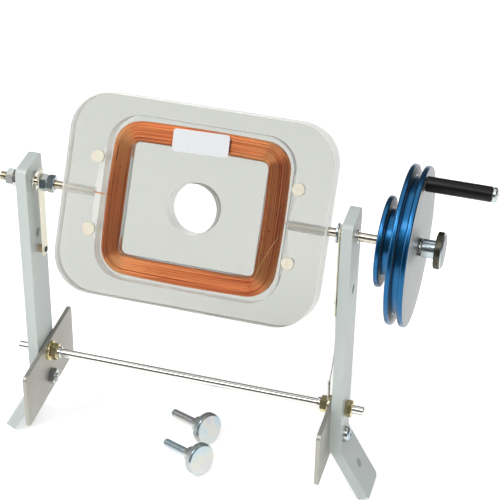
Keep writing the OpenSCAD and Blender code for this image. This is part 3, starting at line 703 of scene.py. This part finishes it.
def solder(spot, length):
    """A drop of solder that wraps the end of the wire."""
    x, y, z = spot
    drop = turned("drop", [(-length / 2, 0.25), (-length * 0.3, 0.5), (0, 0.62), (length * 0.28, 0.52),
                           (length / 2, 0.3)], 24)
    turn = Matrix.Translation((x * MM, y * MM, z * MM)) @ Matrix.Rotation(math.radians(-90), 4, "Y")
    return put(drop, turn)


drops = joined(solder((top[0] - 0.1, 0, top[2] - 0.3), 2.4),
               solder((foot[0] - 0.2, 0, foot[2] - 0.2), 2.8))
hand_over(smooth(drops, 60), "solder_drops", TIN, "frame")

low, high = corners("spring_spacers")
spacer_z = (low.z + high.z) / 2
left_blade = [-corner.x for corner in corners("left_spring")]
spacer_d, seats = high.z - low.z, (spring_low.x, min(left_blade))
spacer_bore = 1.8
spacer = at(washer(spring_high.x, high.x, spacer_d, spacer_bore), spacer_z)
left_spacer = mirrored(at(washer(max(left_blade), high.x, spacer_d, spacer_bore), spacer_z))
hand_over(joined(spacer, left_spacer), "fibre_spacers", FIBRE, "frame", "spring_spacers")


def cheese_head(x_seat, d, h, shank_d, shank_end):
    """A slotted head that faces the middle, with a plain shank behind it."""
    r = d / 2
    top = x_seat - h
    head = turned("head", [(x_seat, r - 0.1), (x_seat - 0.1, r), (top + 0.25, r), (top, r - 0.25)], 32)
    carve(head, block("slot", (top - 1, -d, -d / 12), (x_seat - h * 0.45, d, d / 12)))
    shank = turned("shank", [(x_seat + 0.02, shank_d / 2), (shank_end, shank_d / 2)], 24)
    return smooth(joined(head, shank), 28)


small, left_small = (at(cheese_head(seat, 2.6, 0.6, 1.6, OUT_FACE - 2.0), spacer_z) for seat in seats)
hand_over(joined(small, mirrored(left_small)), "spring_screws_slotted", DARK, "frame", "spring_screws")


def bush(outside):
    """Flanged plain bearing, eased at its rims, that stands out of the bar by outside."""
    inner, r, flange_r, ease = SHAFT_D / 2 + 0.04, 3.0, 4.5, 0.15
    start, seat, end = IN_FACE - 1, IN_FACE - 0.02, OUT_FACE + outside
    return turned("bush", [(start, inner + ease), (start, flange_r - ease), (IN_FACE - 0.85, flange_r),
                           (IN_FACE - 0.12, flange_r), (seat, flange_r - 0.1), (seat, r), (end - ease, r),
                           (end, r - ease), (end, inner + ease), (end - ease, inner),
                           (IN_FACE - 0.85, inner)], 48, ring=True)


hand_over(on_shaft(bush(1.0)), "right_flanged_bush", STEEL, "frame", "right_bush")
hand_over(on_shaft(mirrored(bush(0.0))), "left_flanged_bush", STEEL, "frame", "left_bush")

# Rotor: shafts and their small hardware

low, high = corners("left_half_shaft")
thread_out, thread_mid, thread_in = -76.9, -68.9, -56.9
full_r, eased_r, ease = SHAFT_D / 2, SHAFT_D / 2 - 0.3, 0.3
plain = turned("plain", [(thread_out - 0.1, eased_r), (thread_out + 0.1, full_r),
                         (thread_mid - 0.1, full_r), (thread_mid + 0.1, eased_r)], 48)
plain_in = turned("plain_in", [(thread_in - 0.1, eased_r), (thread_in + 0.1, full_r),
                               (high.x - ease, full_r), (high.x, eased_r)], 48)
outer_end = threaded("outer_end", low.x, thread_out)
inner_run = threaded("inner_run", thread_mid, thread_in)
shaft = joined(plain, plain_in, outer_end, inner_run)
hand_over(on_shaft(shaft), "left_threaded_shaft", SHAFT, "rotor", "left_half_shaft")
low, high = corners("right_half_shaft")
rod = turned("rod", [(low.x, eased_r), (low.x + ease, full_r), (high.x - ease, full_r),
                     (high.x, eased_r)], 48)
hand_over(on_shaft(rod), "right_plain_shaft", SHAFT, "rotor", "right_half_shaft")


def shaft_washer(node, name):
    low, high = corners(node)
    hand_over(on_shaft(washer(low.x, high.x, WASHER_D, SHAFT_D)), name, ZINC, "rotor", node)


def jammed_nuts(node, name, turn):
    """Two nuts set against each other, the first turned a little from the second."""
    low, high = corners(node)
    pair = [hex_nut(x, x + NUT_T) for x in (low.x, high.x - NUT_T)]
    put(pair[0], Matrix.Rotation(math.radians(turn), 4, "X"))
    hand_over(on_shaft(joined(*pair)), name, ZINC, "rotor", node)


shaft_washer("stop_washer", "stop_washer_plain")
jammed_nuts("stop_nuts", "stop_nuts_jammed", 14)
jammed_nuts("rub_nuts", "contact_nuts", 9)
shaft_washer("rub_washer", "contact_washer")


# Rotor: clear plates, coil and label

def rounded_block(name, w, h, r, low, high, steps=20):
    """A block about the plates' middle with its four upright edges rounded."""
    slab = block(name, (-w / 2, -h / 2, low), (w / 2, h / 2, high))
    edit(slab)
    bpy.ops.mesh.select_mode(type="EDGE")
    bpy.ops.mesh.select_all(action="DESELECT")
    leave()
    for e in slab.data.edges:
        a, b = (slab.data.vertices[i].co for i in e.vertices)
        e.select = abs(a.z - b.z) > 1e-6
    only(slab)
    bpy.ops.object.mode_set(mode="EDIT")
    bpy.ops.mesh.select_mode(type="EDGE")
    bpy.ops.mesh.bevel(offset=r * MM, segments=steps, affect="EDGES")
    leave()
    return slab


NYLON_SPOTS = [(x, y) for y in (16.2, -16.2) for x in (-45.5, 45.5)]
NYLON_HEAD_D, NYLON_HEAD_DEEP, NYLON_D = 5.76, 2.0, 3.0
SHAFT_ENDS = (corners("left_half_shaft")[1].x - PLATE_OFF, corners("right_half_shaft")[0].x - PLATE_OFF)


def upright_tool(piece):
    """Stands a turned piece up along the plates' thickness."""
    return put(piece, Matrix.Rotation(math.radians(-90), 4, "Y"))


def clear_sheet(sign):
    """One plate: its outline, the coil's pocket round an island, the hole, the grooves and screw holes."""
    face = sign * PLATE_T / 2
    sheet = rounded_block("sheet", PLATE_W, PLATE_H, PLATE_R, *sorted((sign * 0.02, face)), 28)
    pick(sheet, lambda p: abs(p.z - face) < 0.01)
    bpy.ops.mesh.select_mode(type="FACE")
    bpy.ops.mesh.region_to_loop()
    bpy.ops.mesh.bevel(offset=0.6 * MM, segments=6, affect="EDGES")
    leave()
    w, h, room = COIL_W, COIL_H, POCKET_ROOM
    deep = sorted((-sign, sign * POCKET_DEPTH))
    pocket = rounded_block("pocket", w + 2 * room, h + 2 * room, COIL_R + room, *deep)
    inner = COIL_BAND + 0.3
    carve(pocket, rounded_block("island", w - 2 * inner, h - 2 * inner, COIL_R - COIL_BAND, -9, 9))
    carve(sheet, pocket)
    carve(sheet, upright_tool(turned("hole", [(-20, CENTRE_HOLE_D / 2), (20, CENTRE_HOLE_D / 2)], 96)))
    for outer, end in ((-PLATE_W, SHAFT_ENDS[0] + 0.3), (PLATE_W, SHAFT_ENDS[1] - 0.3)):
        x0, x1 = sorted((outer, end))
        carve(sheet, turned("groove", [(x0, SHAFT_D / 2 + 0.15), (x1, SHAFT_D / 2 + 0.15)], 72))
    step = PLATE_T / 2 - NYLON_HEAD_DEEP
    small, wide = NYLON_D / 2 + 0.1, NYLON_HEAD_D / 2 + 0.06
    for x, y in NYLON_SPOTS:
        bit = turned("bit", [(-20, small), (step, small), (step, wide), (20, wide)], 72)
        carve(sheet, put(upright_tool(bit), Matrix.Translation((x * MM, y * MM, 0))))
    smooth(sheet, 6)

    def milled(p, n):
        near, groove_start = 2.2, 32.2
        in_groove = abs(p.y) < near and abs(p.z) < near and abs(p.x) > groove_start
        return abs(n.z) < 0.5 or in_groove

    def sawn(p, n):
        out = Vector((max(abs(p.x) - PLATE_W / 2 + PLATE_R, 0), max(abs(p.y) - PLATE_H / 2 + PLATE_R, 0)))
        return abs(n.z) < 0.9 and out.length > PLATE_R - 0.5

    return trimmed(sheet, (MILLED, milled), (EDGE, sawn))


for side, sign, finish in (("front", 1, ACRYLIC), ("back", -1, BACK_ACRYLIC)):
    sheet = put(clear_sheet(sign), PLATE_FRAME)
    hand_over(sheet, side + "_acrylic_sheet", finish, "rotor", side + "_plate")


def nylon_screw():
    """A cheese-head screw, its head flush with the front plate, with a shallow slot."""
    top, r = PLATE_T / 2 + 0.04, NYLON_HEAD_D / 2
    head = turned("head", [(top - NYLON_HEAD_DEEP, r - 0.1), (top - 0.3, r), (top, r - 0.3)], 40)
    carve(head, block("slot", (top - 0.25, -4, -0.25), (top + 1, 4, 0.25)))
    low, shank_r = -PLATE_T / 2 + 0.02, NYLON_D / 2 - 0.02
    shank_top = top - NYLON_HEAD_DEEP - 0.03
    shank = turned("shank", [(shank_top, shank_r), (low + 0.28, shank_r), (low, shank_r - 0.28)], 32)
    return smooth(joined(head, shank), 28)


pattern = upright_tool(nylon_screw())
screws = []
for i, (x, y) in enumerate(NYLON_SPOTS):
    turn = Matrix.Rotation(math.radians(35 + 50 * i), 4, "Z")
    screws.append(copied(pattern, PLATE_FRAME @ Matrix.Translation((x * MM, y * MM, 0)) @ turn))
bpy.data.objects.remove(pattern)
hand_over(joined(*screws), "nylon_plate_screws", NYLON, "rotor", "nylon_screws")

dice = random.Random(7)
WIRE_D = 0.37
CORNER_STEPS, SIDE_STEPS, BOW, STREAKS = 9, 5, 0.5, 12
QUARTER = CORNER_STEPS + SIDE_STEPS
LOOP_STEPS = 4 * QUARTER


def loop_point(step, inset, z):
    """A point on the coil's outline, whose sides bow a little; step 0 is before the upper left corner."""
    corner, part = divmod(step % LOOP_STEPS, QUARTER)
    first = math.radians(180 - 90 * corner)
    sx = -1 if corner in (0, 3) else 1
    sy = 1 if corner < 2 else -1
    hub = Vector((sx * (COIL_W / 2 - COIL_R - BOW), sy * (COIL_H / 2 - COIL_R - BOW)))
    r = COIL_R - inset
    if part < CORNER_STEPS:
        angle = first - math.radians(90) * part / (CORNER_STEPS - 1)
        spot = hub + r * Vector((math.cos(angle), math.sin(angle)))
    else:
        angle = first - math.radians(90)
        out = Vector((math.cos(angle), math.sin(angle)))
        t = (part - CORNER_STEPS + 1) / (SIDE_STEPS + 1)
        far = Vector((-hub.x, hub.y)) if corner % 2 == 0 else Vector((hub.x, -hub.y))
        spot = hub.lerp(far, t) + out * (r + BOW * 4 * t * (1 - t))
    return (spot.x, spot.y, z)


def section_spot(s, wide, deep, r):
    """A point round the winding's round-cornered section, s from 0 to 1, from the front's outer edge in."""
    flat, tall, bend = wide - 2 * r, deep - 2 * r, math.pi / 2 * r
    s = s % 1 * (2 * (flat + tall) + 4 * bend)
    for (cx, cz), start, run in (((r, deep / 2 - r), 90, flat), ((wide - r, deep / 2 - r), 0, tall),
                                 ((wide - r, r - deep / 2), -90, flat), ((r, r - deep / 2), -180, tall)):
        a = math.radians(start)
        if s < run:
            return cx + r * math.cos(a) + math.sin(a) * s, cz + r * math.sin(a) - math.cos(a) * s
        if s < run + bend:
            a = math.radians(start) - (s - run) / r
            ex, ez = cx + math.sin(math.radians(start)) * run, cz - math.cos(math.radians(start)) * run
            return ex + r * math.cos(a), ez + r * math.sin(a)
        s -= run + bend
    return r, deep / 2


def winding():
    """The outer layer as one wire: in over the front, down the inside, out over the back and up the rim."""
    wide, deep, corner_r = COIL_BAND - 2 * WIRE_D, 7.44, 1.9
    loops, over, rim_z = 74, 18.5, 2.2
    points, shades, tones = [], [], [0.5]
    for step in range(int((loops + over) * LOOP_STEPS)):
        if step % LOOP_STEPS == 0:
            tones = tones[-1:] + [dice.random() for i in range(STREAKS)]
            phase = dice.uniform(0, 2 * math.pi)
            sway, drift, waves = dice.uniform(0.2, 1), dice.uniform(-0.06, 0.06), dice.choice((1, 2, 3))
        turn = step / LOOP_STEPS
        part = turn % 1
        wave = min(1, 6 * part, 6 - 6 * part) * math.sin(2 * math.pi * waves * part + phase)
        streak, along = divmod(part * STREAKS, 1)
        tone = tones[int(streak)] * (1 - along) + tones[int(streak) + 1] * along
        # Painted highlight: bend brightens the wire at each corner, where the curved strands catch the
        # light
        bend = math.sin(math.pi * min(step % QUARTER / (CORNER_STEPS - 1), 1))
        if turn < loops:
            inset, z = section_spot(turn / loops + 0.009 * sway * wave, wide, deep, corner_r)
            lift = (drift + 0.05 * sway * wave) * (1 if abs(z) > 3 else 0.3)
            inset, z = inset + 1.5 * WIRE_D, z + lift
        else:
            inset, z = WIRE_D / 2, rim_z * (1 - 2 * (turn - loops) / over)
        points.append(loop_point(step, inset, z))
        shades.append(min(max(0.36 + 0.6 * (tone - 0.5) + 0.34 * bend, 0), 1))
    return points, shades


path, shades = winding()
wound = strand("wound", path, WIRE_D, 1)
per_ring = len(wound.data.vertices) // len(path)
stored = wound.data.attributes.new("strand", "FLOAT", "POINT")
for i in range(len(wound.data.vertices)):
    stored.data[i].value = shades[min(i // per_ring, len(shades) - 1)]
# One loose turn crosses the right side of the coil, painted with the palest shade as a highlight
stray_route = [(39.6, -5.5, 4.0), (37.0, -11.0, 4.08), (34.0, -18.0, 4.1), (31.7, -24.6, 4.02)]
stray = strand("stray", stray_route, WIRE_D, 1)
stored = stray.data.attributes.new("strand", "FLOAT", "POINT")
for spot in stored.data:
    spot.value = 1.0
wound = joined(wound, stray)
bpy.ops.object.shade_smooth()
inset, half_deep = 1.6, 3.3
core = rounded_block("core", COIL_W - 2 * inset, COIL_H - 2 * inset, COIL_R - inset, -half_deep, half_deep)
middle = 2 * COIL_BAND - inset
middle_r = COIL_R - COIL_BAND + inset / 2
carve(core, rounded_block("middle", COIL_W - middle, COIL_H - middle, middle_r, -9, 9))
apply_modifier(core, "BEVEL", width=1.2 * MM, segments=3, limit_method="ANGLE",
               angle_limit=math.radians(50))
coil = put(joined(wound, smooth(core)), PLATE_FRAME)
hand_over(coil, "wound_coil", COPPER, "rotor", "coil_winding", "coil_core")

leads = []
side_x = COIL_W / 2 - 0.29
for s, shaft_end in zip((-1, 1), SHAFT_ENDS):
    start = s * (side_x + 0.2)
    run = [(start, 0, -s * 3.8), (start + s * 1.0, 0, -s * 3.8), (start + s * 1.8, 0, -s * 3.55),
           (shaft_end - s * 1.4, 0, -s * 1.5), (shaft_end - s * 0.7, 0, -s * 1.0),
           (shaft_end - s * 0.02, 0, -s * 1.0)]
    leads.append(strand("lead", run, 0.6, 3))
for lead in leads:
    only(lead)
    bpy.ops.object.shade_smooth()
pair = joined(*leads)
stored = pair.data.attributes.new("strand", "FLOAT", "POINT")
for spot in stored.data:
    spot.value = 0.7
hand_over(put(pair, PLATE_FRAME), "coil_lead_wires", COPPER, "rotor", "coil_leads")

label = put(eased("label", "label", 0.05), PLATE_FRAME.inverted())
put(label, PLATE_FRAME @ Matrix.Translation((0, 0, 0.02 * MM)))
hand_over(label, "bare_label", PAPER, "rotor", "label")

# Rotor: pulleys, crank and knurled pieces

low, high = corners("small_pulley")
bore = SHAFT_D / 2 + 0.02
rim_ease, flange_t = 0.75, 2.3


def flange(x0, x1, r):
    """A flange's rim with rounded edges, from its left face to its right face."""
    return (arc(x0 + rim_ease, r - rim_ease, rim_ease, 180, 90)
            + arc(x1 - rim_ease, r - rim_ease, rim_ease, 90, 0))


def side_face(p, n):
    return abs(n.x) > 0.97


small_r, small_floor = 20.0, 14.6
wheel = turned("wheel", [(low.x, bore), (low.x, 9.0)] + flange(low.x, low.x + flange_t, small_r)
               + [(low.x + flange_t, small_floor + 0.4), (low.x + 2.7, small_floor),
                  (high.x - 0.02, small_floor), (high.x - 0.02, bore)], 144, ring=True)
# The flat faces get the grey painted sheen
hand_over(on_shaft(trimmed(wheel, (PAINTED_SHEEN_FACE, side_face))), "small_belt_wheel", BLUE, "rotor", "small_pulley")
low, high = corners("large_pulley")
large_r, large_floor = 35.0, 30.0
groove_end = low.x + 5.7
wheel = turned("wheel", [(low.x, bore), (low.x, 18.0)] + flange(low.x, low.x + flange_t, large_r)
               + [(low.x + flange_t, large_floor + 0.4), (low.x + 2.6, large_floor),
                  (low.x + 5.4, large_floor), (groove_end, large_floor + 0.4)]
               + flange(groove_end, high.x, large_r) + [(high.x, 18.0), (high.x, bore)], 192, ring=True)
grip_low, grip_high = corners("crank_grip")
crank_y, crank_z = (grip_low.y + grip_high.y) / 2, (grip_low.z + grip_high.z) / 2 - SHAFT_Z
carve(wheel, at(turned("hole", [(high.x - 2.7, 1.52), (high.x + 1, 1.52)], 32), crank_z, crank_y))
# The flat faces get the grey painted sheen
wheel = on_shaft(trimmed(smooth(wheel), (PAINTED_SHEEN_FACE, side_face)))
hand_over(wheel, "large_belt_wheel", BLUE, "rotor", "large_pulley")

pin_low, pin_high = corners("crank_pin")
pin_head_h = 2.2
pin = turned("pin", [(pin_low.x + 0.02, 1.3), (pin_low.x + 0.3, 1.5), (pin_high.x - pin_head_h, 1.5)], 32)
knob = pan_head(pin_high.x - pin_head_h, 6.5, pin_head_h)
hand_over(at(joined(pin, knob), crank_z + SHAFT_Z, crank_y), "crank_pin_bright", ZINC, "rotor", "crank_pin")
grip_r, grip_ease = (grip_high.z - grip_low.z) / 2, 0.35
sleeve = turned("sleeve", [(grip_low.x, 1.6)]
                + arc(grip_low.x + grip_ease, grip_r - grip_ease, grip_ease, 180, 90)
                + arc(grip_high.x - grip_ease, grip_r - grip_ease, grip_ease, 90, 0)
                + [(grip_high.x, 1.6), (grip_high.x - 0.1, 1.54), (grip_low.x + 0.1, 1.54)], 48, ring=True)
hand_over(at(sleeve, crank_z + SHAFT_Z, crank_y), "crank_sleeve", SLEEVE, "crank_grip", "crank_grip")

low, high = corners("lock_washer")
ring = turned("ring", [(low.x + 0.25, 2.05), (low.x + 0.25, 3.1), (high.x - 0.25, 3.1),
                       (high.x - 0.25, 2.05)], 48, ring=True)
teeth = [ring]
TEETH, TOOTH_TIP = 12, 3.98
for i in range(TEETH):
    tooth = block("tooth", (-0.2, -0.8, 2.6), (0.2, 0.8, TOOTH_TIP))
    pick(tooth, lambda p: p.z > 3.5)
    bpy.ops.transform.resize(value=(1, 0.75, 1), center_override=(0, 0, TOOTH_TIP * MM))
    leave()
    apply_modifier(tooth, "BEVEL", width=0.06 * MM, segments=2, limit_method="ANGLE",
                   angle_limit=math.radians(40))
    place = math.radians(360 / TEETH * i)
    twist = Matrix.Rotation(place, 4, "X") @ Matrix.Rotation(math.radians(34), 4, "Z")
    teeth.append(put(tooth, Matrix.Translation(((low.x + high.x) / 2 * MM, 0, 0)) @ twist))
hand_over(on_shaft(joined(*teeth)), "toothed_lock_washer", ZINC, "lock_washer", "lock_washer")

RIDGES, RIDGE_DEPTH = 44, 0.22
HEAD_D, HEAD_T, HUB_D, HUB_LEN = 16.0, 3.5, 8.0, 6.0


def knurled_head(x0, rim, face):
    """A disc with a diamond-knurled rim, a chamfer behind a crease and a flat face; x0 is its hub side."""
    r, ease, chamfer, rows = HEAD_D / 2, 0.3, 0.9, 6
    row_step = (HEAD_T - ease - chamfer) / rows
    profile = [(x0, 3.0), (x0, r - ease - 0.2)] + [(x0 + ease + row_step * i, r) for i in range(rows + 1)]
    edge = x0 + HEAD_T
    profile += [(edge - 0.82, r - 0.3), (edge - 0.7, r - 0.12), (edge - 0.12, r - 0.72), (edge, r - 1.0),
                (edge, r * 0.6), (edge, r * 0.3), (edge, 0.4)]
    head = turned("head", profile, 2 * RIDGES)

    def valley(p):
        row = round((p.x - x0 - ease) / row_step)
        column = round(math.atan2(p.z, p.y) * RIDGES / math.pi)
        return math.hypot(p.y, p.z) > r - 0.05 and (row + column) % 2 == 1

    pick(head, valley)
    inward = 1 - RIDGE_DEPTH / r
    bpy.ops.transform.resize(value=(1, inward, inward), center_override=(x0 * MM, 0, 0))
    leave()
    smooth(head, 22)

    def on_rim(p, n):
        return p.x < edge - chamfer and math.hypot(p.y, p.z) > r - 0.4

    def on_face(p, n):
        return n.x > 0.9 and p.x > edge - chamfer

    return trimmed(head, (rim, on_rim), (face, on_face))


def plain_hub(x0, hole_d=None):
    """The plain collar under a knurled head, with a hole through it or without."""
    x1, r = x0 + HUB_LEN - 0.02, HUB_D / 2
    outside = [(x0, r - 0.3), (x0 + 0.3, r), (x1, r)]
    if hole_d:
        return turned("hub", [(x0, hole_d / 2)] + outside + [(x1, hole_d / 2)], ring=True)
    return turned("hub", outside)


nut_x = corners("thumb_nut")[0].x
# Painted shade: the thumb nut's knurl gets the dark copy and its face the grey finish
nut = joined(knurled_head(nut_x + HUB_LEN, KNURL, PAINTED_SHEEN_FACE), plain_hub(nut_x, SHAFT_D + 0.12))
hand_over(on_shaft(nut), "knurled_thumb_nut", ZINC, "thumb_nut", "thumb_nut")

THUMB_LEN = 18.5
THUMB_TILT = math.atan((HEAD_D - THREAD_D) / 2 / (THUMB_LEN + HUB_LEN))
for name, spot in (("back", (-15.3, 24.4)), ("front", (-12.4, 2.4))):
    tip = turned("tip", [(0, 1.45), (0.45, 1.9), (0.55, 1.6)], 32)
    neck = turned("neck", [(THUMB_LEN - 1.6, 1.55), (THUMB_LEN + 0.02, 1.55)], 32)
    # Painted light: the loose screws' knurl gets the pale copy
    screw = joined(knurled_head(THUMB_LEN + HUB_LEN, PALE_KNURL, ZINC), plain_hub(THUMB_LEN),
                   threaded("thread", 0.5, THUMB_LEN - 1.5), tip, neck)
    rest_z = THREAD_D / 2 * math.cos(THUMB_TILT)
    lie = (Matrix.Translation((spot[0] * MM, spot[1] * MM, rest_z * MM))
           @ Matrix.Rotation(math.radians(-32), 4, "Z") @ Matrix.Rotation(-THUMB_TILT, 4, "Y"))
    body = "thumb_screw_" + name
    hand_over(put(screw, lie), "loose_thumb_screw_" + name, PALE_ZINC, body, body)

# Floor, light and camera

bpy.ops.object.select_all(action="DESELECT")
bpy.ops.mesh.primitive_plane_add(size=8)
floor = added("studio_floor")
surface, tree, shader, place = finish_of("lit_white_floor", Metallic=0.0, Roughness=0.9, IOR=1.3,
                                         Emission_Strength=0.45)
shader.inputs["Emission Color"].default_value = (1, 1, 1, 1)
blend_colours(tree, shader, noise(tree, place, 400), ((0.3, "#f6f6f5"), (0.7, "#fafaf9")))
floor.data.materials.append(surface)

world = bpy.data.worlds.new("studio")
bpy.context.scene.world = world
world.use_nodes = True
tree = world.node_tree
sky = add(tree, "ShaderNodeTexCoord").outputs["Generated"]
height = add(tree, "ShaderNodeSeparateXYZ", links={"Vector": sky}).outputs["Z"]
ramp = add(tree, "ShaderNodeValToRGB", links={"Fac": height})
for i, (at_height, grey) in enumerate(((0.0, 0.1), (0.5, 0.16), (0.85, 0.35))):
    stop = ramp.color_ramp.elements[i] if i < 2 else ramp.color_ramp.elements.new(at_height)
    stop.position = at_height
    stop.color = (grey, grey, grey * 1.01, 1)
tree.links.new(ramp.outputs["Color"], tree.nodes["Background"].inputs["Color"])
tree.nodes["Background"].inputs["Strength"].default_value = 1.0


def softbox(name, spot, size_mm, watts, aim=(20, 0, 100)):
    data = bpy.data.lights.new(name, "AREA")
    data.shape = "RECTANGLE"
    data.size, data.size_y = size_mm[0] * MM, size_mm[1] * MM
    data.energy = watts
    lamp = bpy.data.objects.new(name, data)
    bpy.context.scene.collection.objects.link(lamp)
    lamp.location = Vector(spot) * MM
    lamp.rotation_euler = (Vector(aim) - Vector(spot)).to_track_quat("-Z", "Y").to_euler()


softbox("front_top", (-440, -560, 1430), (800, 600), 8.2)
softbox("front_left", (-480, -450, 604), (300, 300), 1.6)
softbox("front_right", (300, -535, 934), (350, 350), 2.2)
softbox("overhead", (0, 300, 1900), (2000, 2000), 11)
softbox("right_fill", (1300, -600, 330), (700, 500), 1.2)
softbox("left_fill", (-1300, -600, 330), (700, 500), 2.0)

# The photograph's camera, solved from the object's straight and square edges
AZIMUTH, ELEVATION, ROLL = (math.radians(a) for a in (15.119, 35.622, 1.084))
CAMERA_AT = Vector((190.25, -596.34, 425.43 + SHAFT_Z)) * MM
FOCAL_PX, FRAME_PX, SENSOR_MM = 1721.55, 500, 36
right = Vector((math.cos(AZIMUTH), math.sin(AZIMUTH), 0))
back = Vector((math.sin(AZIMUTH), -math.cos(AZIMUTH), math.tan(ELEVATION))).normalized()
up = back.cross(right)
lens = bpy.data.cameras.new("photograph")
lens.sensor_width = SENSOR_MM
lens.lens = FOCAL_PX / FRAME_PX * SENSOR_MM
lens.clip_start, lens.clip_end = 0.01, 20
camera = bpy.data.objects.new("photograph", lens)
bpy.context.scene.collection.objects.link(camera)
axis_x = math.cos(ROLL) * right + math.sin(ROLL) * up
axis_y = -math.sin(ROLL) * right + math.cos(ROLL) * up
camera.matrix_world = Matrix.Translation(CAMERA_AT) @ Matrix((axis_x, axis_y, back)).transposed().to_4x4()
bpy.context.scene.camera = camera
bpy.context.scene.view_settings.view_transform = "Standard"
